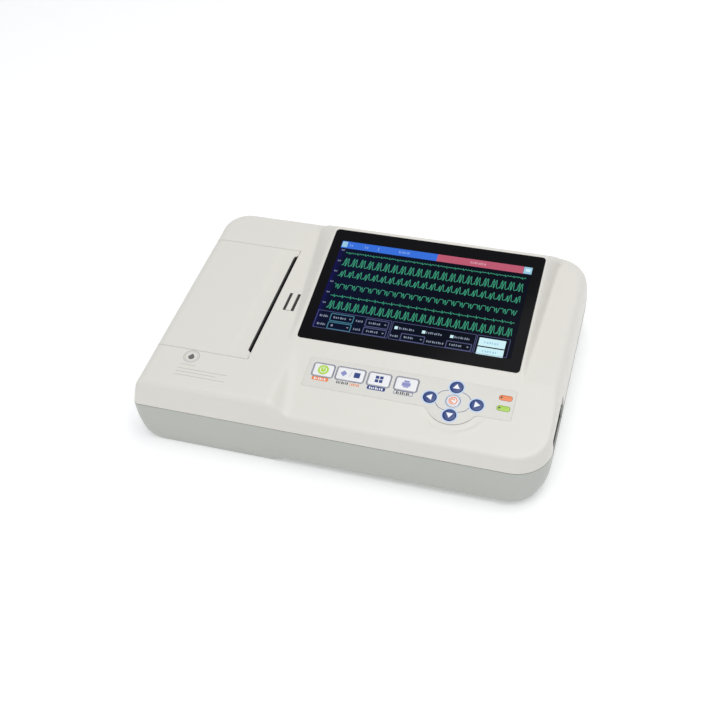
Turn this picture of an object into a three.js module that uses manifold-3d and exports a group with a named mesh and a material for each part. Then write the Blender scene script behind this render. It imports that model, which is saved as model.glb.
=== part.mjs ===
// Six-channel electrocardiograph for a table: a two-part moulded case, a tilted touch display with a keypad
// in front of it, and a thermal strip printer under a hinged paper door at the left.
// Millimetres, +Z up, +X to the operator's right, +Y to the back. The origin is on the table, under the
// middle of the case.
import * as THREE from "three";
import { ConvexGeometry } from "three/addons/geometries/ConvexGeometry.js";
import { mergeVertices } from "three/addons/utils/BufferGeometryUtils.js";
import Module from "manifold-3d";

const wasm = await Module();
wasm.setup();

// ---------------------------------------------------------------- driving dimensions
const CLEAR = 0.3; // gap between touching pieces
const FIT = 0.4; // gap round a piece that moves in a hole
const WALL = 2.5;
const CASE = { halfX: 157.5, halfY: 106.5, seamZ: 38, deckZ: 61.5, bandGap: 0.3 };
const CORNER_RADII = [5, 27, 26, 23]; // front left, front right, back right, back left
// Height of each section of the case and its insets at the left, right, front and back.
const UPPER_SECTIONS = [
  [CASE.seamZ, 0, 0, 0, 0],
  [50, 3, 0.8, 1.8, 1.6],
  [57, 5.2, 2, 3.2, 3.2],
  [60.3, 7.4, 4.4, 4.8, 5.5],
  [CASE.deckZ, 11, 8, 8, 9],
];
const LOWER_SECTIONS = [
  [2, 18, 14, 4, 10],
  [5, 12, 8, 2.4, 6.5],
  [9.4, 6.4, 4, 1.5, 3.4],
  [15.5, 2.6, 1.6, 0.9, 1.5],
  [25, 0.3, 0.4, 0.4, 0.6],
  [CASE.seamZ - CASE.bandGap, 0, 0, 0, 0],
];
const BASE_STEP = { x: -45, run: 10, rise: 3.3 }; // the floor right of the printer sits higher
const FLOOR_Z = LOWER_SECTIONS[0][0];
const RIGHT_FLOOR_Z = FLOOR_Z + BASE_STEP.rise;

// The display and the keypad lie in one tilted plane, the console.
const CONSOLE = { x: 38, y: 21.5, z: 71.1, tilt: THREE.MathUtils.degToRad(8.8) };
const WEDGE = {
  left: -49.4, right: 125.4, front: -38, back: 79,
  footLeft: -69, footRight: 132.4, footBack: 100,
};
const RAMP = { x: -46, slope: 1.14 }; // slope down from the printer deck to the keypad
const GLASS = { width: 170.4, height: 110.8, thick: 1.8, radius: 3 };
const LCD = { width: 165, height: 100, activeWidth: 154.2, activeHeight: 86.6, thick: 5.6 };
const LEDGE_DEPTH = 4.5;

// Keypad, in console coordinates: u to the right, v to the back, w out of the panel.
const OVERLAY = { left: -68.8, right: 87.4, front: -97.4, back: -71.2, thick: 0.5 };
const KEY = { top: 0.7, bottom: -3.8, travel: 0.6, depth: 10.4, radius: 1.4, v: -81.7 };
const MAIN_KEYS = [ // name, place along the row, width
  ["key_power", -56, 15],
  ["key_start_stop", -35, 20.6],
  ["key_mode", -13, 16],
  ["key_print", 7.6, 16.2],
];
const PAD = { u: 44, v: -88.9, reachU: 17.2, reachV: 12.1, radius: 4.7, centreRadius: 5 };
const LAMP = { width: 9.4, depth: 4.4, radius: 1.8, top: 0.5, bottom: -6.8 };
const LAMPS = [
  ["lamp_mains", 80.3, -78.9],
  ["lamp_battery", 80.3, -87.8],
];

// Printer, in case coordinates.
const DOOR = { right: -78.9, halfY: 63, bottomZ: 44.5, dip: 1.3, dipX: -94 };
const SLOT_RIGHT = -76.4;
const HINGE = { x: -153.3, z: 44.5, pin: 1.2, knuckle: 2.6 };
const PLATEN = { x: -85.5, z: 50.5, radius: 6.5, shaft: 2, front: -54, back: 58.5 };
const GEAR = { module: 0.8, platen: 18, idler: 24, pinion: 12, front: -59.2, back: -56.2, extra: 0.12 };
const FRAME = { left: -95.2, right: -62, front: -55, back: 60.8, plate: 1.8, top: 40.5, shelfZ: 30.5 };
const MOTOR = { radius: 10, front: -52.9, back: -34 };
const HEAD = {
  left: -98, right: -69, front: -52.8, back: 58, low: 41.3, high: PLATEN.z - PLATEN.radius - CLEAR,
  pivotX: -66.5, pivotZ: 37.5,
};
const PIVOT_ROD = 1.2; // radius
const IDLER_STUD = 1.5; // radius
const ROLL = { x: -122, z: 31.3, radius: 22, core: 8, front: -53.5, back: 56.5, spindle: 5 };
const TRAY = { inner: 24.4, thick: 1.8, end: 1.6, front: -58.6, back: 61.5, topZ: 46, gateZ: 38 };
const BUTTON = { left: -66.2, right: -61.4, front: -6.5, back: 13, top: CASE.deckZ + 0.9, gap: 2.1 };
const STEM_Z = 54; // foot of the release button's stem
const LATCH = { x: -70.5, z: 46, rod: 2, halfY: 65.6 };

// Back and side sockets.
const PORT = { front: -79.6, back: -36.4, low: 26.4, high: 49.6, floorX: 149.6, noseX: 155.4 };
const INLET = { x: 112, width: 27.2, low: 12.4, high: 32.6, front: 84, face: 105.2, lip: 1.8 };
const EARTH_POST = { x: 80, z: 21, radius: 3, front: 92, back: 105.8 };
const NETWORK = { x: 30, width: 16, low: 16.8, high: 30.6, front: 86, face: 105.2, lip: 1.6 };
const USB = { x: 55, width: 14.6, low: 22.6, high: 30.6, front: 88, face: 105.2, lip: 1.3 };

const BOARD = { left: -24, right: 128, front: -46, back: 84, z: 31, thick: 1.6 };
const BATTERY = { left: -6, right: 66, front: -53, back: 0, low: 8.4, high: 28 };
const BATTERY_COVER = { left: -10, right: 70, front: -57, back: 8, screwX: 30, screwY: 4.6 };
const HOUSING_SCREWS = [
  [-140, -90],
  [-140, 88],
  [-32, -92],
  [-32, 92],
  [135, -84],
  [135, 84],
];
const SCREW = { head: 2.8, shank: 1.5, headLow: 7.6, headHigh: 9.8, tip: 41, postTop: 30 };

// ---------------------------------------------------------------- geometry helpers
const consoleZ = (y) => CONSOLE.z + (y - CONSOLE.y) * Math.tan(CONSOLE.tilt);

function solid(geometry) {
  const bare = geometry.clone();
  bare.deleteAttribute("normal");
  bare.deleteAttribute("uv");
  const merged = mergeVertices(bare, 1e-4);
  const vertProperties = merged.attributes.position.array;
  const triVerts = new Uint32Array(merged.index.array);
  return new wasm.Manifold(new wasm.Mesh({ numProp: 3, vertProperties, triVerts }));
}

function geometryOf(body) {
  const mesh = body.getMesh();
  const geometry = new THREE.BufferGeometry();
  geometry.setAttribute("position", new THREE.BufferAttribute(mesh.vertProperties, 3));
  geometry.setIndex(new THREE.BufferAttribute(mesh.triVerts, 1));
  geometry.computeVertexNormals();
  return geometry;
}

const join = (bodies) => bodies.reduce((sum, body) => sum.add(body));
const cut = (body, tools) => tools.reduce((rest, tool) => rest.subtract(tool), body);

function box(x0, x1, y0, y1, z0, z1) {
  const geometry = new THREE.BoxGeometry(x1 - x0, y1 - y0, z1 - z0);
  return solid(geometry.translate((x0 + x1) / 2, (y0 + y1) / 2, (z0 + z1) / 2));
}

function rodY(x, z, y0, y1, radius, sides = 20) {
  const geometry = new THREE.CylinderGeometry(radius, radius, y1 - y0, sides);
  return solid(geometry.translate(x, (y0 + y1) / 2, z));
}

function rodZ(x, y, z0, z1, radius, sides = 10) {
  const geometry = new THREE.CylinderGeometry(radius, radius, z1 - z0, sides).rotateX(Math.PI / 2);
  return solid(geometry.translate(x, y, (z0 + z1) / 2));
}

const hull = (points) => solid(new ConvexGeometry(points.map((p) => new THREE.Vector3(...p))));

// An XZ outline drawn out along Y.
function extrudeY(shape, y0, y1, curveSegments = 6) {
  const geometry = new THREE.ExtrudeGeometry(shape, { depth: y1 - y0, bevelEnabled: false, curveSegments });
  return solid(geometry.rotateX(Math.PI / 2).translate(0, y1, 0));
}

// A UV outline drawn out along W.
function extrudeW(shape, w0, w1, curveSegments = 1) {
  const geometry = new THREE.ExtrudeGeometry(shape, { depth: w1 - w0, bevelEnabled: false, curveSegments });
  return solid(geometry.translate(0, 0, w0));
}

function roundedRect(left, right, front, back, radius) {
  const shape = new THREE.Shape();
  shape.absarc(left + radius, front + radius, radius, Math.PI, 1.5 * Math.PI);
  shape.absarc(right - radius, front + radius, radius, 1.5 * Math.PI, 2 * Math.PI);
  shape.absarc(right - radius, back - radius, radius, 0, 0.5 * Math.PI);
  shape.absarc(left + radius, back - radius, radius, 0.5 * Math.PI, Math.PI);
  return shape;
}

const centredRect = (u, v, width, depth, radius) =>
  roundedRect(u - width / 2, u + width / 2, v - depth / 2, v + depth / 2, radius);

function disc(u, v, radius) {
  const shape = new THREE.Shape();
  shape.absarc(u, v, radius, 0, 2 * Math.PI);
  return shape;
}

// One ring of the case: a rectangle in plan, each side with its inset, each corner with its radius.
function caseRing(z, [left, right, front, back], steps = 4) {
  const x0 = -CASE.halfX + left;
  const x1 = CASE.halfX - right;
  const y0 = -CASE.halfY + front;
  const y1 = CASE.halfY - back;
  const corners = [
    [x0, y0, 1, 1, Math.PI, Math.max(left, front)],
    [x1, y0, -1, 1, 1.5 * Math.PI, Math.max(right, front)],
    [x1, y1, -1, -1, 0, Math.max(right, back)],
    [x0, y1, 1, -1, 0.5 * Math.PI, Math.max(left, back)],
  ];
  return corners.flatMap(([x, y, inX, inY, start, inset], corner) => {
    const radius = Math.max(CORNER_RADII[corner] - inset / 2, 2);
    return Array.from({ length: steps + 1 }, (_, i) => {
      const angle = start + (i / steps) * (Math.PI / 2);
      return [x + inX * radius + radius * Math.cos(angle), y + inY * radius + radius * Math.sin(angle), z];
    });
  });
}

// A closed solid through rings of equal length, lowest ring first.
function loft(rings) {
  const count = rings[0].length;
  const index = [];
  for (let k = 0; k + 1 < rings.length; k++) {
    for (let i = 0; i < count; i++) {
      const a = k * count + i;
      const b = k * count + ((i + 1) % count);
      index.push(a, b, b + count, a, b + count, a + count);
    }
  }
  const top = (rings.length - 1) * count;
  for (let i = 1; i + 1 < count; i++) {
    index.push(top, top + i, top + i + 1);
    index.push(0, i + 1, i);
  }
  const geometry = new THREE.BufferGeometry();
  geometry.setAttribute("position", new THREE.Float32BufferAttribute(rings.flat(2), 3));
  geometry.setIndex(index);
  return solid(geometry);
}

// ---------------------------------------------------------------- the case
// Each block is the outer form shrunk by `inset`; a shell is the block less its shrunk copy.
function keypadCut(inset) {
  const front = -CASE.halfY - 10;
  const level = CONSOLE.y + (CASE.deckZ - CONSOLE.z) / Math.tan(CONSOLE.tilt); // where console meets deck
  const high = CASE.deckZ + 10;
  const rampX = (z) => RAMP.x + (CASE.deckZ - z) * RAMP.slope - inset;
  const far = CASE.halfX + 10;
  const low = consoleZ(front);
  return hull([
    [rampX(low), front, low - inset],
    [rampX(CASE.deckZ), level, CASE.deckZ - inset],
    [rampX(high), front, high],
    [rampX(high), level, high],
    [far, front, low - inset],
    [far, level, CASE.deckZ - inset],
    [far, front, high],
    [far, level, high],
  ]);
}

function displayWedge(inset) {
  const side = 1.4 * inset;
  const tops = [
    [WEDGE.left + inset, WEDGE.front],
    [WEDGE.right - inset, WEDGE.front],
    [WEDGE.right - inset, WEDGE.back - inset],
    [WEDGE.left + inset, WEDGE.back - inset],
  ];
  const feet = [
    [WEDGE.left - 3 + side, WEDGE.front - 2],
    [WEDGE.right + 2 - side, WEDGE.front - 2],
    [WEDGE.footRight - side, WEDGE.footBack - side],
    [WEDGE.footLeft + side, WEDGE.footBack - side],
  ];
  return hull([
    ...tops.map(([x, y]) => [x, y, consoleZ(y) - inset]),
    ...feet.map(([x, y]) => [x, y, CASE.deckZ - inset]),
    ...feet.map(([x, y]) => [x, y, CASE.deckZ - inset - 4]),
  ]);
}

function upperBlock(inset) {
  const rings = UPPER_SECTIONS.map(([z, ...insets], i) => {
    const height = i === 0 ? z - Math.sign(inset) : z - inset;
    return caseRing(height, insets.map((side) => side + inset));
  });
  return loft(rings).subtract(keypadCut(inset)).add(displayWedge(inset));
}

function lowerBlock(inset) {
  const last = LOWER_SECTIONS.length - 1;
  const rings = LOWER_SECTIONS.map(([z, ...insets], i) => {
    const height = i === last ? z + Math.sign(inset) : z + inset * (1 - i / last);
    return caseRing(height, insets.map((side) => side + inset));
  });
  const far = CASE.halfX + 10;
  const side = CASE.halfY + 10;
  const low = -5;
  const high = RIGHT_FLOOR_Z + inset;
  const start = BASE_STEP.x - inset - BASE_STEP.run * (FLOOR_Z - low) / BASE_STEP.rise;
  const end = BASE_STEP.x - inset + BASE_STEP.run;
  const step = new THREE.Shape();
  step.moveTo(start, low);
  step.lineTo(far, low);
  step.lineTo(far, high);
  step.lineTo(end, high);
  return loft(rings).subtract(extrudeY(step, -side, side));
}

const onConsole = (body) => {
  const seat = new THREE.Matrix4().makeRotationX(CONSOLE.tilt).setPosition(CONSOLE.x, CONSOLE.y, CONSOLE.z);
  return solid(geometryOf(body).applyMatrix4(seat));
};

function mainKey(u, width, grow, w0, w1) {
  return extrudeW(centredRect(u, KEY.v, width + 2 * grow, KEY.depth + 2 * grow, KEY.radius), w0, w1);
}

const roundKey = (u, v, radius, w0, w1) => extrudeW(disc(u, v, radius), w0, w1, 8);

function lampBody(u, v, grow, w0, w1) {
  return extrudeW(centredRect(u, v, LAMP.width + 2 * grow, LAMP.depth + 2 * grow, LAMP.radius), w0, w1, 2);
}

// The holes that the keys and the lamps stand in, as solids to cut with.
const keyHoles = (grow, w0, w1) => [
  ...MAIN_KEYS.map(([, u, width]) => mainKey(u, width, grow, w0, w1)),
  ...padKeys().map(([, u, v, radius]) => roundKey(u, v, radius + grow, w0, w1)),
  ...LAMPS.map(([, u, v]) => lampBody(u, v, grow, w0, w1)),
];

function padKeys() {
  return [
    ["key_up", PAD.u, PAD.v + PAD.reachV, PAD.radius],
    ["key_down", PAD.u, PAD.v - PAD.reachV, PAD.radius],
    ["key_left", PAD.u - PAD.reachU, PAD.v, PAD.radius],
    ["key_right", PAD.u + PAD.reachU, PAD.v, PAD.radius],
    ["key_centre", PAD.u, PAD.v, PAD.centreRadius],
  ];
}

// The printed panel: a strip with a round bay for the lowest key of the pad.
function overlayOutline(grow) {
  const strip = roundedRect(
    OVERLAY.left - grow, OVERLAY.right + grow, OVERLAY.front - grow, OVERLAY.back + grow, 1.5);
  const bay = disc(PAD.u, PAD.v, PAD.reachU + 6 + grow);
  const below = roundedRect(
    PAD.u - 30, PAD.u + 30, PAD.v - PAD.reachV - 6.5 - grow, PAD.v, 6);
  return [strip, bay, below];
}

function overlayBody(grow, w0, w1) {
  const [strip, bay, below] = overlayOutline(grow);
  const round = extrudeW(bay, w0, w1, 12).intersect(extrudeW(below, w0, w1));
  return extrudeW(strip, w0, w1).add(round);
}

function screwBoss(x, y) {
  return rodZ(x, y, SCREW.postTop + CLEAR, consoleFree(x, y), 4);
}

// Height just under the upper skin above a screw.
function consoleFree(x, y) {
  const overKeypad = x > RAMP.x && y < 0;
  return (overKeypad ? consoleZ(y) : CASE.deckZ) - WALL / 2;
}

function upperHousing() {
  let body = upperBlock(0).subtract(upperBlock(WALL));
  const ledgeShape = centredRect(0, 0, GLASS.width + 8, GLASS.height + 8, 4);
  const ledge = onConsole(extrudeW(ledgeShape, -LEDGE_DEPTH, -0.5));
  const hingeBosses = [-1, 1].map((side) => {
    const near = side * (DOOR.halfY + FIT);
    const y0 = Math.min(near, near + side * 3.2);
    return rodY(HINGE.x + 0.4, HINGE.z, y0, y0 + 3.2, 3, 16);
  });
  const latchLugs = [-LATCH.halfY - 0.8, LATCH.halfY - 2.2].map((y) =>
    box(LATCH.x - 3.6, LATCH.x + 3.6, y, y + 3, LATCH.z - 3.6, CASE.deckZ - WALL / 2));
  body = join([body, ledge, ...HOUSING_SCREWS.map(([x, y]) => screwBoss(x, y))]);
  body = body.subtract(box(-170, SLOT_RIGHT, -DOOR.halfY - FIT, DOOR.halfY + FIT, 41.4, 70));
  body = join([body, ...latchLugs, ...hingeBosses.map((boss) => boss.intersect(upperBlock(0)))]);

  const glassPocket = centredRect(0, 0, GLASS.width + 2 * CLEAR, GLASS.height + 2 * CLEAR, GLASS.radius);
  const window = centredRect(0, 0, LCD.activeWidth + 3, LCD.activeHeight + 6, 2);
  const tools = [
    onConsole(extrudeW(glassPocket, -GLASS.thick - CLEAR, 5)),
    onConsole(extrudeW(window, -12, 2)),
    onConsole(overlayBody(CLEAR, -OVERLAY.thick - 0.1, 4)),
    ...keyHoles(0.5, -8, 4).map(onConsole),
    box(BUTTON.left - BUTTON.gap, BUTTON.right + BUTTON.gap, BUTTON.front - FIT, BUTTON.back + FIT, 50, 70),
    box(PORT.floorX - 8, 170, PORT.front - CLEAR, PORT.back + CLEAR, 30, PORT.high + CLEAR),
    rodY(HINGE.x, HINGE.z, -DOOR.halfY - 2.8, DOOR.halfY + 2.8, HINGE.pin + CLEAR, 12),
    rodY(LATCH.x, LATCH.z, -LATCH.halfY - CLEAR, LATCH.halfY + CLEAR, LATCH.rod + CLEAR, 16),
    ...HOUSING_SCREWS.map(([x, y]) => rodZ(x, y, 20, SCREW.tip + 1.5, SCREW.shank + CLEAR)),
  ];
  return cut(body, tools);
}

function batteryBay() {
  const outer = box(BATTERY_COVER.left - 3, BATTERY_COVER.right + 3, BATTERY_COVER.front - 3,
    BATTERY_COVER.back + 3, RIGHT_FLOOR_Z + 1, 24);
  const inner = box(BATTERY_COVER.left + 1, BATTERY_COVER.right - 1, BATTERY_COVER.front + 1,
    BATTERY_COVER.back - 1, 0, 40);
  const post = rodZ(BATTERY_COVER.screwX, BATTERY_COVER.screwY, RIGHT_FLOOR_Z + 3, 18, 3.4);
  return outer.subtract(inner).add(post);
}

function lowerHousing() {
  const shell = lowerBlock(0).subtract(lowerBlock(WALL));
  const posts = HOUSING_SCREWS.map(([x, y]) => rodZ(x, y, floorAt(x) + 0.5, SCREW.postTop, 4.2));
  const standoffs = boardCorners().map(([x, y]) => rodZ(x, y, RIGHT_FLOOR_Z + 1, BOARD.z - CLEAR, 2.4, 8));
  const whole = join([shell, ...posts, ...standoffs, batteryBay()]);
  const grilleSlots = [-8, -4, 0, 4, 8].map((dy) => box(90, 110, -76 + dy, -74.2 + dy, 0, 12));
  return cut(whole, [
    ...HOUSING_SCREWS.map(([x, y]) => rodZ(x, y, -1, SCREW.headHigh + CLEAR, SCREW.head + CLEAR)),
    ...HOUSING_SCREWS.map(([x, y]) => rodZ(x, y, -1, 40, SCREW.shank + CLEAR)),
    box(BATTERY_COVER.left, BATTERY_COVER.right, BATTERY_COVER.front, BATTERY_COVER.back, 0,
      RIGHT_FLOOR_Z + WALL + CLEAR),
    rodZ(BATTERY_COVER.screwX, BATTERY_COVER.screwY, 0, 16, SCREW.shank + CLEAR),
    box(PORT.floorX - 8, 170, PORT.front - CLEAR, PORT.back + CLEAR, PORT.low - CLEAR, 60),
    socketHole(INLET, CLEAR),
    socketHole(NETWORK, CLEAR),
    socketHole(USB, CLEAR),
    rodY(EARTH_POST.x, EARTH_POST.z, 90, 110, EARTH_POST.radius + FIT, 16),
    ...grilleSlots,
  ]);
}

const floorAt = (x) => (x < BASE_STEP.x ? FLOOR_Z : RIGHT_FLOOR_Z);

function boardCorners() {
  const { left, right, front, back } = BOARD;
  return [left + 4, right - 4].flatMap((x) => [front + 4, back - 4].map((y) => [x, y]));
}

const socketHole = ({ x, width, low, high }, grow) =>
  box(x - width / 2 - grow, x + width / 2 + grow, 98, 112, low - grow, high + grow);

function socketBody({ x, width, low, high, front, face, lip }, depth) {
  const left = x - width / 2;
  const right = x + width / 2;
  const block = box(left, right, front, face, low, high);
  return block.subtract(box(left + lip, right - lip, face - depth, face + 2, low + lip, high - lip));
}

function batteryCover() {
  const { left, right, front, back, screwX, screwY } = BATTERY_COVER;
  const plate = box(left + FIT, right - FIT, front + FIT, back - FIT, RIGHT_FLOOR_Z, RIGHT_FLOOR_Z + WALL);
  const grooves = [8, 12, 16].map((dy) =>
    box(left + 6, left + 26, front + dy, front + dy + 1.4, 0, RIGHT_FLOOR_Z + 0.6));
  const seat = rodZ(screwX, screwY, 0, 7 + CLEAR, SCREW.head + CLEAR);
  const hole = rodZ(screwX, screwY, 0, 12, SCREW.shank + CLEAR);
  return cut(plate, [...grooves, seat, hole]);
}

function screw(x, y, headLow, headHigh, tip) {
  const profile = [
    [0, headLow],
    [SCREW.head - 0.6, headLow],
    [SCREW.head, headLow + 0.7],
    [SCREW.head, headHigh],
    [SCREW.shank, headHigh],
    [SCREW.shank, tip - 1.5],
    [0, tip],
  ].map(([r, z]) => new THREE.Vector2(r, z));
  const body = solid(new THREE.LatheGeometry(profile, 10).rotateX(Math.PI / 2).translate(x, y, 0));
  const slot = box(x - 4, x + 4, y - 0.4, y + 0.4, headLow - 1, headLow + 0.8);
  return body.subtract(slot);
}

function foot(x, y) {
  const top = floorAt(x) - CLEAR;
  const profile = [
    [0, 0],
    [6.4, 0],
    [7, 0.6],
    [7, top],
    [0, top],
  ].map(([r, z]) => new THREE.Vector2(r, z));
  return solid(new THREE.LatheGeometry(profile, 16).rotateX(Math.PI / 2).translate(x, y, 0));
}

// ---------------------------------------------------------------- the printer
// A spur gear in XZ round its own centre, one tooth centred on `phase` degrees from +X.
function gearShape(teeth, phase, bore) {
  const pitch = (GEAR.module * teeth) / 2;
  const step = (2 * Math.PI) / teeth;
  const shape = new THREE.Shape();
  for (let i = 0; i < teeth; i++) {
    const centre = THREE.MathUtils.degToRad(phase) + i * step;
    const flank = [
      [pitch - 1.1 * GEAR.module, -0.27],
      [pitch + 0.75 * GEAR.module, -0.12],
      [pitch + 0.75 * GEAR.module, 0.12],
      [pitch - 1.1 * GEAR.module, 0.27],
    ];
    flank.forEach(([r, part], k) => {
      const angle = centre + part * step;
      const point = [r * Math.cos(angle), r * Math.sin(angle)];
      if (i === 0 && k === 0) shape.moveTo(...point);
      else shape.lineTo(...point);
    });
  }
  shape.closePath();
  if (bore) shape.holes.push(new THREE.Path().absarc(0, 0, bore, 0, 2 * Math.PI, true));
  return shape;
}

function gear(teeth, phase, bore, x, z) {
  return solid(geometryOf(extrudeY(gearShape(teeth, phase, bore), GEAR.front, GEAR.back)).translate(x, 0, z));
}

const gearSpan = (a, b) => (GEAR.module * (a + b)) / 2 + GEAR.extra;
const IDLER_Z = PLATEN.z - gearSpan(GEAR.platen, GEAR.idler);
const PINION_Z = IDLER_Z - gearSpan(GEAR.idler, GEAR.pinion);

function doorBody() {
  const skin = upperBlock(0).subtract(upperBlock(WALL));
  const cover = skin.intersect(box(-170, DOOR.right, -DOOR.halfY, DOOR.halfY, DOOR.bottomZ, 70));
  const knuckle = rodY(HINGE.x, HINGE.z, -DOOR.halfY + 0.2, DOOR.halfY - 0.2, HINGE.knuckle, 20);
  const ears = [
    [-62.6, -60.2],
    [60.2, 62.6],
  ].map(([y0, y1]) => {
    const ear = new THREE.Shape();
    ear.moveTo(-98, CASE.deckZ - 1);
    ear.lineTo(-90, 48);
    ear.absarc(PLATEN.x, PLATEN.z, 4.4, 1.15 * Math.PI, 1.9 * Math.PI);
    ear.lineTo(DOOR.right, 54);
    ear.lineTo(DOOR.right, CASE.deckZ - 2.2);
    return extrudeY(ear, y0, y1, 4);
  });
  const dip = new THREE.Shape();
  dip.moveTo(DOOR.dipX, CASE.deckZ + 0.01);
  dip.lineTo(DOOR.dipX + 5, CASE.deckZ - DOOR.dip);
  dip.lineTo(-70, CASE.deckZ - DOOR.dip);
  dip.lineTo(-70, CASE.deckZ + 2);
  dip.lineTo(DOOR.dipX, CASE.deckZ + 2);
  return cut(join([cover, knuckle, ...ears]), [
    extrudeY(dip, -DOOR.halfY + 3, DOOR.halfY - 3),
    rodY(HINGE.x, HINGE.z, -70, 70, HINGE.pin + CLEAR, 16),
    rodY(PLATEN.x, PLATEN.z, -61.6, 61.6, PLATEN.shaft + CLEAR, 20),
  ]);
}

function printerFrame() {
  const { left, right, front, back, plate, top, shelfZ } = FRAME;
  const footZ = FLOOR_Z + WALL + CLEAR;
  const body = join([
    box(left, right, front, back, shelfZ, shelfZ + 2),
    box(left, right, front, front + plate, footZ, top),
    box(left, right, back - plate, back, footZ, top),
  ]);
  const idlerStud = rodY(PLATEN.x, IDLER_Z, GEAR.front - 0.6, front + 1, IDLER_STUD, 12);
  return cut(join([body, idlerStud]), [
    rodY(PLATEN.x, PINION_Z, front - 1, front + 3, 3, 16),
    rodY(HEAD.pivotX, HEAD.pivotZ, front - 1, back + 1, PIVOT_ROD + CLEAR, 12),
  ]);
}

// The head: a ceramic bar on a heat sink, with two arms down to its pivot rod.
function printHead() {
  const plate = box(HEAD.left, HEAD.right, HEAD.front, HEAD.back, HEAD.low, HEAD.high - 0.7);
  const ceramic = box(PLATEN.x - 6, PLATEN.x + 6, HEAD.front, HEAD.back, HEAD.low, HEAD.high);
  const fins = [-94, -90.5].map((x) =>
    box(x, x + 1.2, HEAD.front + 4, HEAD.back - 4, HEAD.low - 3, HEAD.low + 0.5));
  const arms = [HEAD.front + 0.2, HEAD.back - 2.4].map((y) => {
    const arm = new THREE.Shape();
    arm.moveTo(HEAD.right - 6, HEAD.low + 0.5);
    arm.lineTo(HEAD.pivotX - 2.4, HEAD.pivotZ);
    arm.absarc(HEAD.pivotX, HEAD.pivotZ, 2.6, Math.PI, 2.35 * Math.PI);
    arm.lineTo(HEAD.right, HEAD.high - 0.7);
    arm.lineTo(HEAD.right - 6, HEAD.high - 0.7);
    return extrudeY(arm, y, y + 2.2, 4);
  });
  const bore = rodY(HEAD.pivotX, HEAD.pivotZ, HEAD.front - 5, HEAD.back + 5, PIVOT_ROD + CLEAR, 12);
  return join([plate, ceramic, ...fins, ...arms]).subtract(bore);
}

function coilSpring(x, y, z0, z1, radius, wire, turns) {
  const length = z1 - z0 - 2 * wire;
  class Helix extends THREE.Curve {
    getPoint(t, target = new THREE.Vector3()) {
      const angle = 2 * Math.PI * turns * t;
      return target.set(radius * Math.cos(angle), radius * Math.sin(angle), wire + length * t);
    }
  }
  const section = new THREE.Shape().absarc(0, 0, wire, 0, 2 * Math.PI);
  const options = { steps: turns * 10, curveSegments: 2, bevelEnabled: false, extrudePath: new Helix() };
  return solid(new THREE.ExtrudeGeometry(section, options).translate(x, y, z0));
}

function paperTray() {
  const outer = TRAY.inner + TRAY.thick;
  const trough = new THREE.Shape();
  trough.moveTo(ROLL.x - outer, TRAY.topZ);
  trough.lineTo(ROLL.x - outer, ROLL.z);
  trough.absarc(ROLL.x, ROLL.z, outer, Math.PI, 2 * Math.PI);
  trough.lineTo(ROLL.x + outer, TRAY.gateZ);
  trough.lineTo(ROLL.x + TRAY.inner, TRAY.gateZ);
  trough.absarc(ROLL.x, ROLL.z, TRAY.inner, 2 * Math.PI, Math.PI, true);
  trough.lineTo(ROLL.x - TRAY.inner, TRAY.topZ);
  const end = new THREE.Shape();
  end.moveTo(ROLL.x - outer, TRAY.gateZ);
  end.lineTo(ROLL.x - outer, ROLL.z);
  end.absarc(ROLL.x, ROLL.z, outer, Math.PI, 2 * Math.PI);
  end.lineTo(ROLL.x + outer, TRAY.gateZ);
  const ends = [
    [TRAY.front, TRAY.front + TRAY.end],
    [TRAY.back - TRAY.end, TRAY.back],
  ].map(([y0, y1]) => extrudeY(end, y0, y1, 7));
  const slot = ROLL.spindle + 0.5;
  const seat = rodY(ROLL.x, ROLL.z, TRAY.front - 1, TRAY.back + 1, slot, 20);
  const mouth = box(ROLL.x - slot, ROLL.x + slot, TRAY.front - 1, TRAY.back + 1, ROLL.z, 60);
  return join([extrudeY(trough, TRAY.front, TRAY.back, 7), join(ends).subtract(seat).subtract(mouth)]);
}

// The latch: a rod with an arm under the release button and a finger beside each end of the door.
function latchBar() {
  const rod = rodY(LATCH.x, LATCH.z, -LATCH.halfY, LATCH.halfY, LATCH.rod, 16);
  const arm = new THREE.Shape();
  arm.moveTo(LATCH.x - 1.6, LATCH.z);
  arm.lineTo(LATCH.x + 1, LATCH.z - 1.6);
  arm.lineTo(BUTTON.right - 1.6, STEM_Z - 2.4);
  arm.lineTo(BUTTON.right - 1.6, STEM_Z - 0.4);
  arm.lineTo(BUTTON.left + 1.8, STEM_Z - 0.4);
  const fingers = [-62.4, 60.4].map((y) => {
    const finger = new THREE.Shape();
    finger.moveTo(LATCH.x - 1.8, LATCH.z);
    finger.lineTo(LATCH.x + 1.8, LATCH.z);
    finger.lineTo(-72.6, 55.5);
    finger.lineTo(-77.6, 53.2);
    finger.lineTo(-75.4, 52.4);
    return extrudeY(finger, y, y + 2);
  });
  return join([rod, extrudeY(arm, 1, 6), ...fingers]);
}

function releaseButton() {
  const { left, right, front, back, top, gap } = BUTTON;
  const under = CASE.deckZ - WALL - CLEAR;
  const cap = box(left, right, front, back, under - 1, top);
  const reach = gap + 1.2;
  const flange = box(left - reach, right + reach, front - 1.2, back + 1.2, under - 1.5, under);
  const stem = box(left + 1.4, right - 1.4, 1.4, 5.6, STEM_Z, under - 0.5);
  return join([cap, flange, stem]);
}

// ---------------------------------------------------------------- electronics and sockets
function mainBoard() {
  const { left, right, front, back, z, thick } = BOARD;
  const chips = [
    [0, 24, 10, 34, 2.2],
    [44, 60, 14, 30, 1.8],
    [80, 104, -30, -6, 6],
    [-14, 20, 56, 70, 8],
    [40, 70, -36, -28, 9],
  ].map(([x0, x1, y0, y1, height]) => box(x0, x1, y0, y1, z + 1, z + thick + height));
  return join([box(left, right, front, back, z, z + thick), ...chips]);
}

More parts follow.
